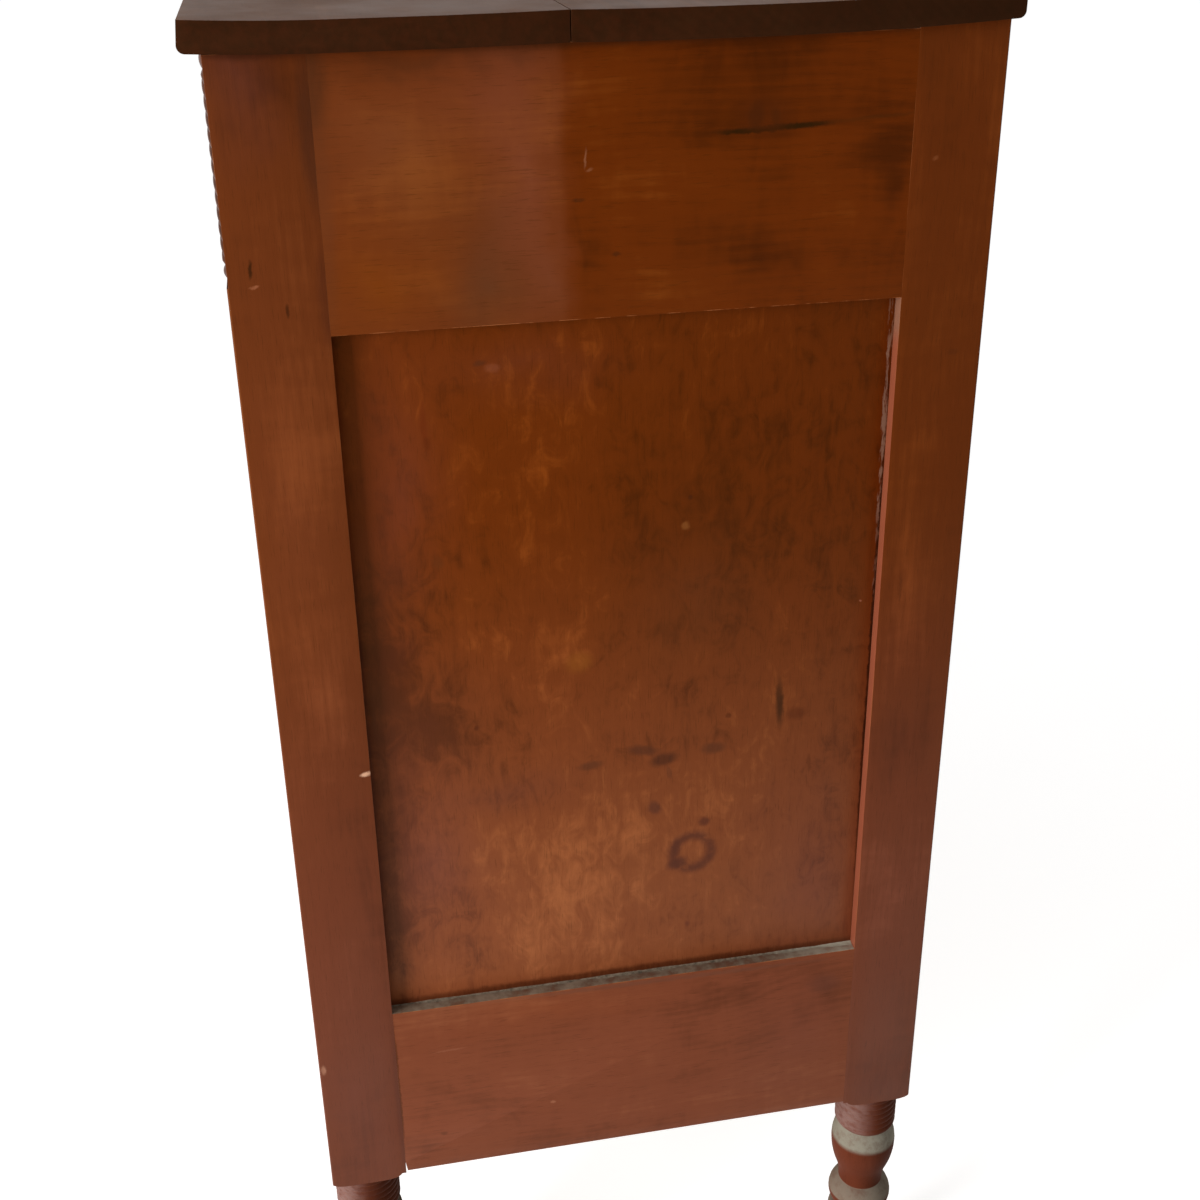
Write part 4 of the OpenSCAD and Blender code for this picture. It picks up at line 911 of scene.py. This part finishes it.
def corner_lint(side):
    """A low uneven strip of dust along the ledge."""
    panel_low, panel_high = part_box(side + "_panel")
    sign = 1 if side == "right" else -1
    face_x = panel_high.x if sign > 0 else panel_low.x
    ledge_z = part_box(side + "_lower_rail")[1].z
    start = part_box("front_%s_post" % side)[1].y
    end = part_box("back_%s_post" % side)[0].y
    count = round((end - start) / LINT_STEP)
    mesh = bmesh.new()
    rows = []
    for k in range(count + 1):
        y = start + (end - start) * k / count
        lump = LUMP_SIZE * noise.noise(Vector((y * LUMP_SCALE, 1.3 * sign, 0.4)))
        lump += CLUMP_SIZE * noise.noise(Vector((y * CLUMP_SCALE, 5.1, sign)))
        corner = max(0.0, 1 - (end - y) / LINT_CORNER)
        size = max(LINT_LEAST, LINT_MIDDLE + lump + LINT_CORNER_MORE * corner)
        rows.append([mesh.verts.new((face_x + sign * a * LINT_W * size, y, ledge_z + b * LINT_H * size))
                     for a, b in LINT_OUTLINE])
    loft(mesh, rows)
    new_piece("%s_ledge_dust" % side, mesh, "case", MATERIALS["lint"])


# Cut nails that hold the back boards
BACK_BOARDS = 4
NAIL_W = 5.2 * MM
NAIL_H = 3.4 * MM
NAIL_PROUD = 0.45 * MM
NAIL_SUNK = 0.6 * MM
NAIL_INSET = 6.0 * MM
NAIL_EDGE = 26.0 * MM
NAIL_ROUND = 0.28 * MM
NAIL_TURN = 0.5
NAIL_STRAY_X = 1
NAIL_STRAY_Z = 4
RAIL_NAILS = (-0.5, 0.0, 0.5)


def nail_places():
    """(x, z) of each nail: two at each end of each board, and three into each back rail."""
    low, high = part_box("back_boards")
    step = (high.z - low.z) / BACK_BOARDS
    places = []
    for k in range(BACK_BOARDS):
        for x in (low.x + NAIL_INSET, high.x - NAIL_INSET):
            places += [(x, low.z + k * step + NAIL_EDGE), (x, low.z + (k + 1) * step - NAIL_EDGE)]
    for rail in ("back_bottom_rail", "back_top_rail"):
        rail_low, rail_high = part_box(rail)
        middle = (rail_low.z + rail_high.z) / 2
        places += [(rail_high.x * share, middle) for share in RAIL_NAILS]
    return places


def back_nails():
    """Nail heads driven nearly flush, each a little out of line."""
    rng = random.Random("nails")
    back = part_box("back_boards")[1].y
    thick = NAIL_PROUD + NAIL_SUNK
    mesh = bmesh.new()
    for x, z in nail_places():
        stray_x = rng.uniform(-NAIL_STRAY_X, NAIL_STRAY_X) * MM
        stray_z = rng.uniform(-NAIL_STRAY_Z, NAIL_STRAY_Z) * MM
        at = Vector((x + stray_x, back + NAIL_PROUD - thick / 2, z + stray_z))
        size = Matrix.Diagonal((NAIL_W / 2, thick / 2, NAIL_H / 2, 1.0))
        turn = Matrix.Rotation(rng.uniform(-NAIL_TURN, NAIL_TURN), 4, "Y")
        cube = bmesh.ops.create_cube(mesh, size=2.0, matrix=Matrix.Translation(at) @ turn @ size)
        edges = list({edge for vertex in cube["verts"] for edge in vertex.link_edges})
        bmesh.ops.bevel(mesh, geom=edges, offset=NAIL_ROUND, offset_type="OFFSET", segments=2, profile=0.5,
                        affect="EDGES", clamp_overlap=True)
    new_piece("back_board_nails", mesh, "case", MATERIALS["iron"])


# Beads stamped round the rims of the pulls' back plates
BEAD_R = 0.62 * MM
BEAD_COUNT = 72
RIM_FROM_EDGE = 1.2 * MM
RIM_FROM_FACE = 1.55 * MM
DRAWER_BEAD_PROUD = 2.0 * MM


def rim_beads(number):
    """The beads of both pulls of one drawer."""
    low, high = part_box("pull_plates_%d" % number)
    plate_r = (high.z - low.z) / 2
    pull_x = high.x - plate_r
    middle = (low.z + high.z) / 2
    face_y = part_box("drawer_%d_front" % number)[0].y + DRAWER_BEAD_PROUD
    r = plate_r - RIM_FROM_EDGE
    mesh = bmesh.new()
    for side in (-1, 1):
        for k in range(BEAD_COUNT):
            angle = 2 * math.pi * k / BEAD_COUNT
            at = (side * pull_x + r * math.cos(angle), face_y - RIM_FROM_FACE, middle + r * math.sin(angle))
            bmesh.ops.create_icosphere(mesh, subdivisions=2, radius=BEAD_R, matrix=Matrix.Translation(at))
    new_piece("pull_beads_%d" % number, mesh, "drawer_%d" % number, MATERIALS["brass"])


# Light: a tall soft window before the chest, and a white background that also fills the shadows
WINDOW_AT = (1.75, -2.6, 1.10)
WINDOW_AIM = (0.5, 0.0, 0.65)
WINDOW_SIZE = (1.3, 1.6)
WINDOW_POWER = 104.0
FILL = 0.42
WHITE = 1.0
FLOOR_SIZE = 14.0
FLOOR_TONE = (0.8, 0.8, 0.8, 1.0)
FLOOR_GLOW = 0.68


def backdrop_rays(nodes):
    """1 for the rays that show the background: from the camera, in gloss and through glass."""
    path = nodes.node("ShaderNodeLightPath")
    rays = nodes.math("MAXIMUM", path.outputs["Is Camera Ray"], path.outputs["Is Glossy Ray"])
    return nodes.math("MAXIMUM", rays, path.outputs["Is Transmission Ray"])


def make_window():
    data = bpy.data.lights.new("window", "AREA")
    data.shape = "RECTANGLE"
    data.size, data.size_y = WINDOW_SIZE
    data.energy = WINDOW_POWER
    lamp = bpy.data.objects.new("window", data)
    lamp.location = WINDOW_AT
    lamp.rotation_euler = (Vector(WINDOW_AIM) - Vector(WINDOW_AT)).to_track_quat("-Z", "Y").to_euler()
    bpy.context.scene.collection.objects.link(lamp)


def make_background():
    """White where it is seen, and dimmer as a light."""
    world = bpy.data.worlds.new("studio")
    bpy.context.scene.world = world
    world.use_nodes = True
    nodes = Nodes(world.node_tree)
    background = nodes.tree.nodes["Background"]
    nodes.put(background.inputs["Color"], (1.0, 1.0, 1.0, 1.0))
    nodes.put(background.inputs["Strength"], nodes.stretch(backdrop_rays(nodes), 0.0, 1.0, FILL, WHITE))


def make_floor():
    """A pale floor that glows where it is seen, so that it runs into the background."""
    s = Shader("floor")
    s.coat({"Base Color": FLOOR_TONE, "Roughness": 0.9, "Specular IOR Level": 0.0,
            "Emission Color": (1.0, 1.0, 1.0, 1.0),
            "Emission Strength": s.math("MULTIPLY", backdrop_rays(s), FLOOR_GLOW)})
    mesh = bmesh.new()
    bmesh.ops.create_grid(mesh, x_segments=1, y_segments=1, size=FLOOR_SIZE)
    data = bpy.data.meshes.new("floor")
    mesh.to_mesh(data)
    mesh.free()
    data.materials.append(s.material)
    floor = bpy.data.objects.new("floor", data)
    bpy.context.scene.collection.objects.link(floor)


make_camera()
make_background()
make_window()
make_floor()
dress_nodes()
for column_node in ("left_rope_column", "right_rope_column"):
    rope_column(column_node)
for end_side in ("left", "right"):
    corner_lint(end_side)
back_nails()
for drawer_number in range(1, 5):
    rim_beads(drawer_number)

bpy.context.scene.view_settings.view_transform = "Standard"
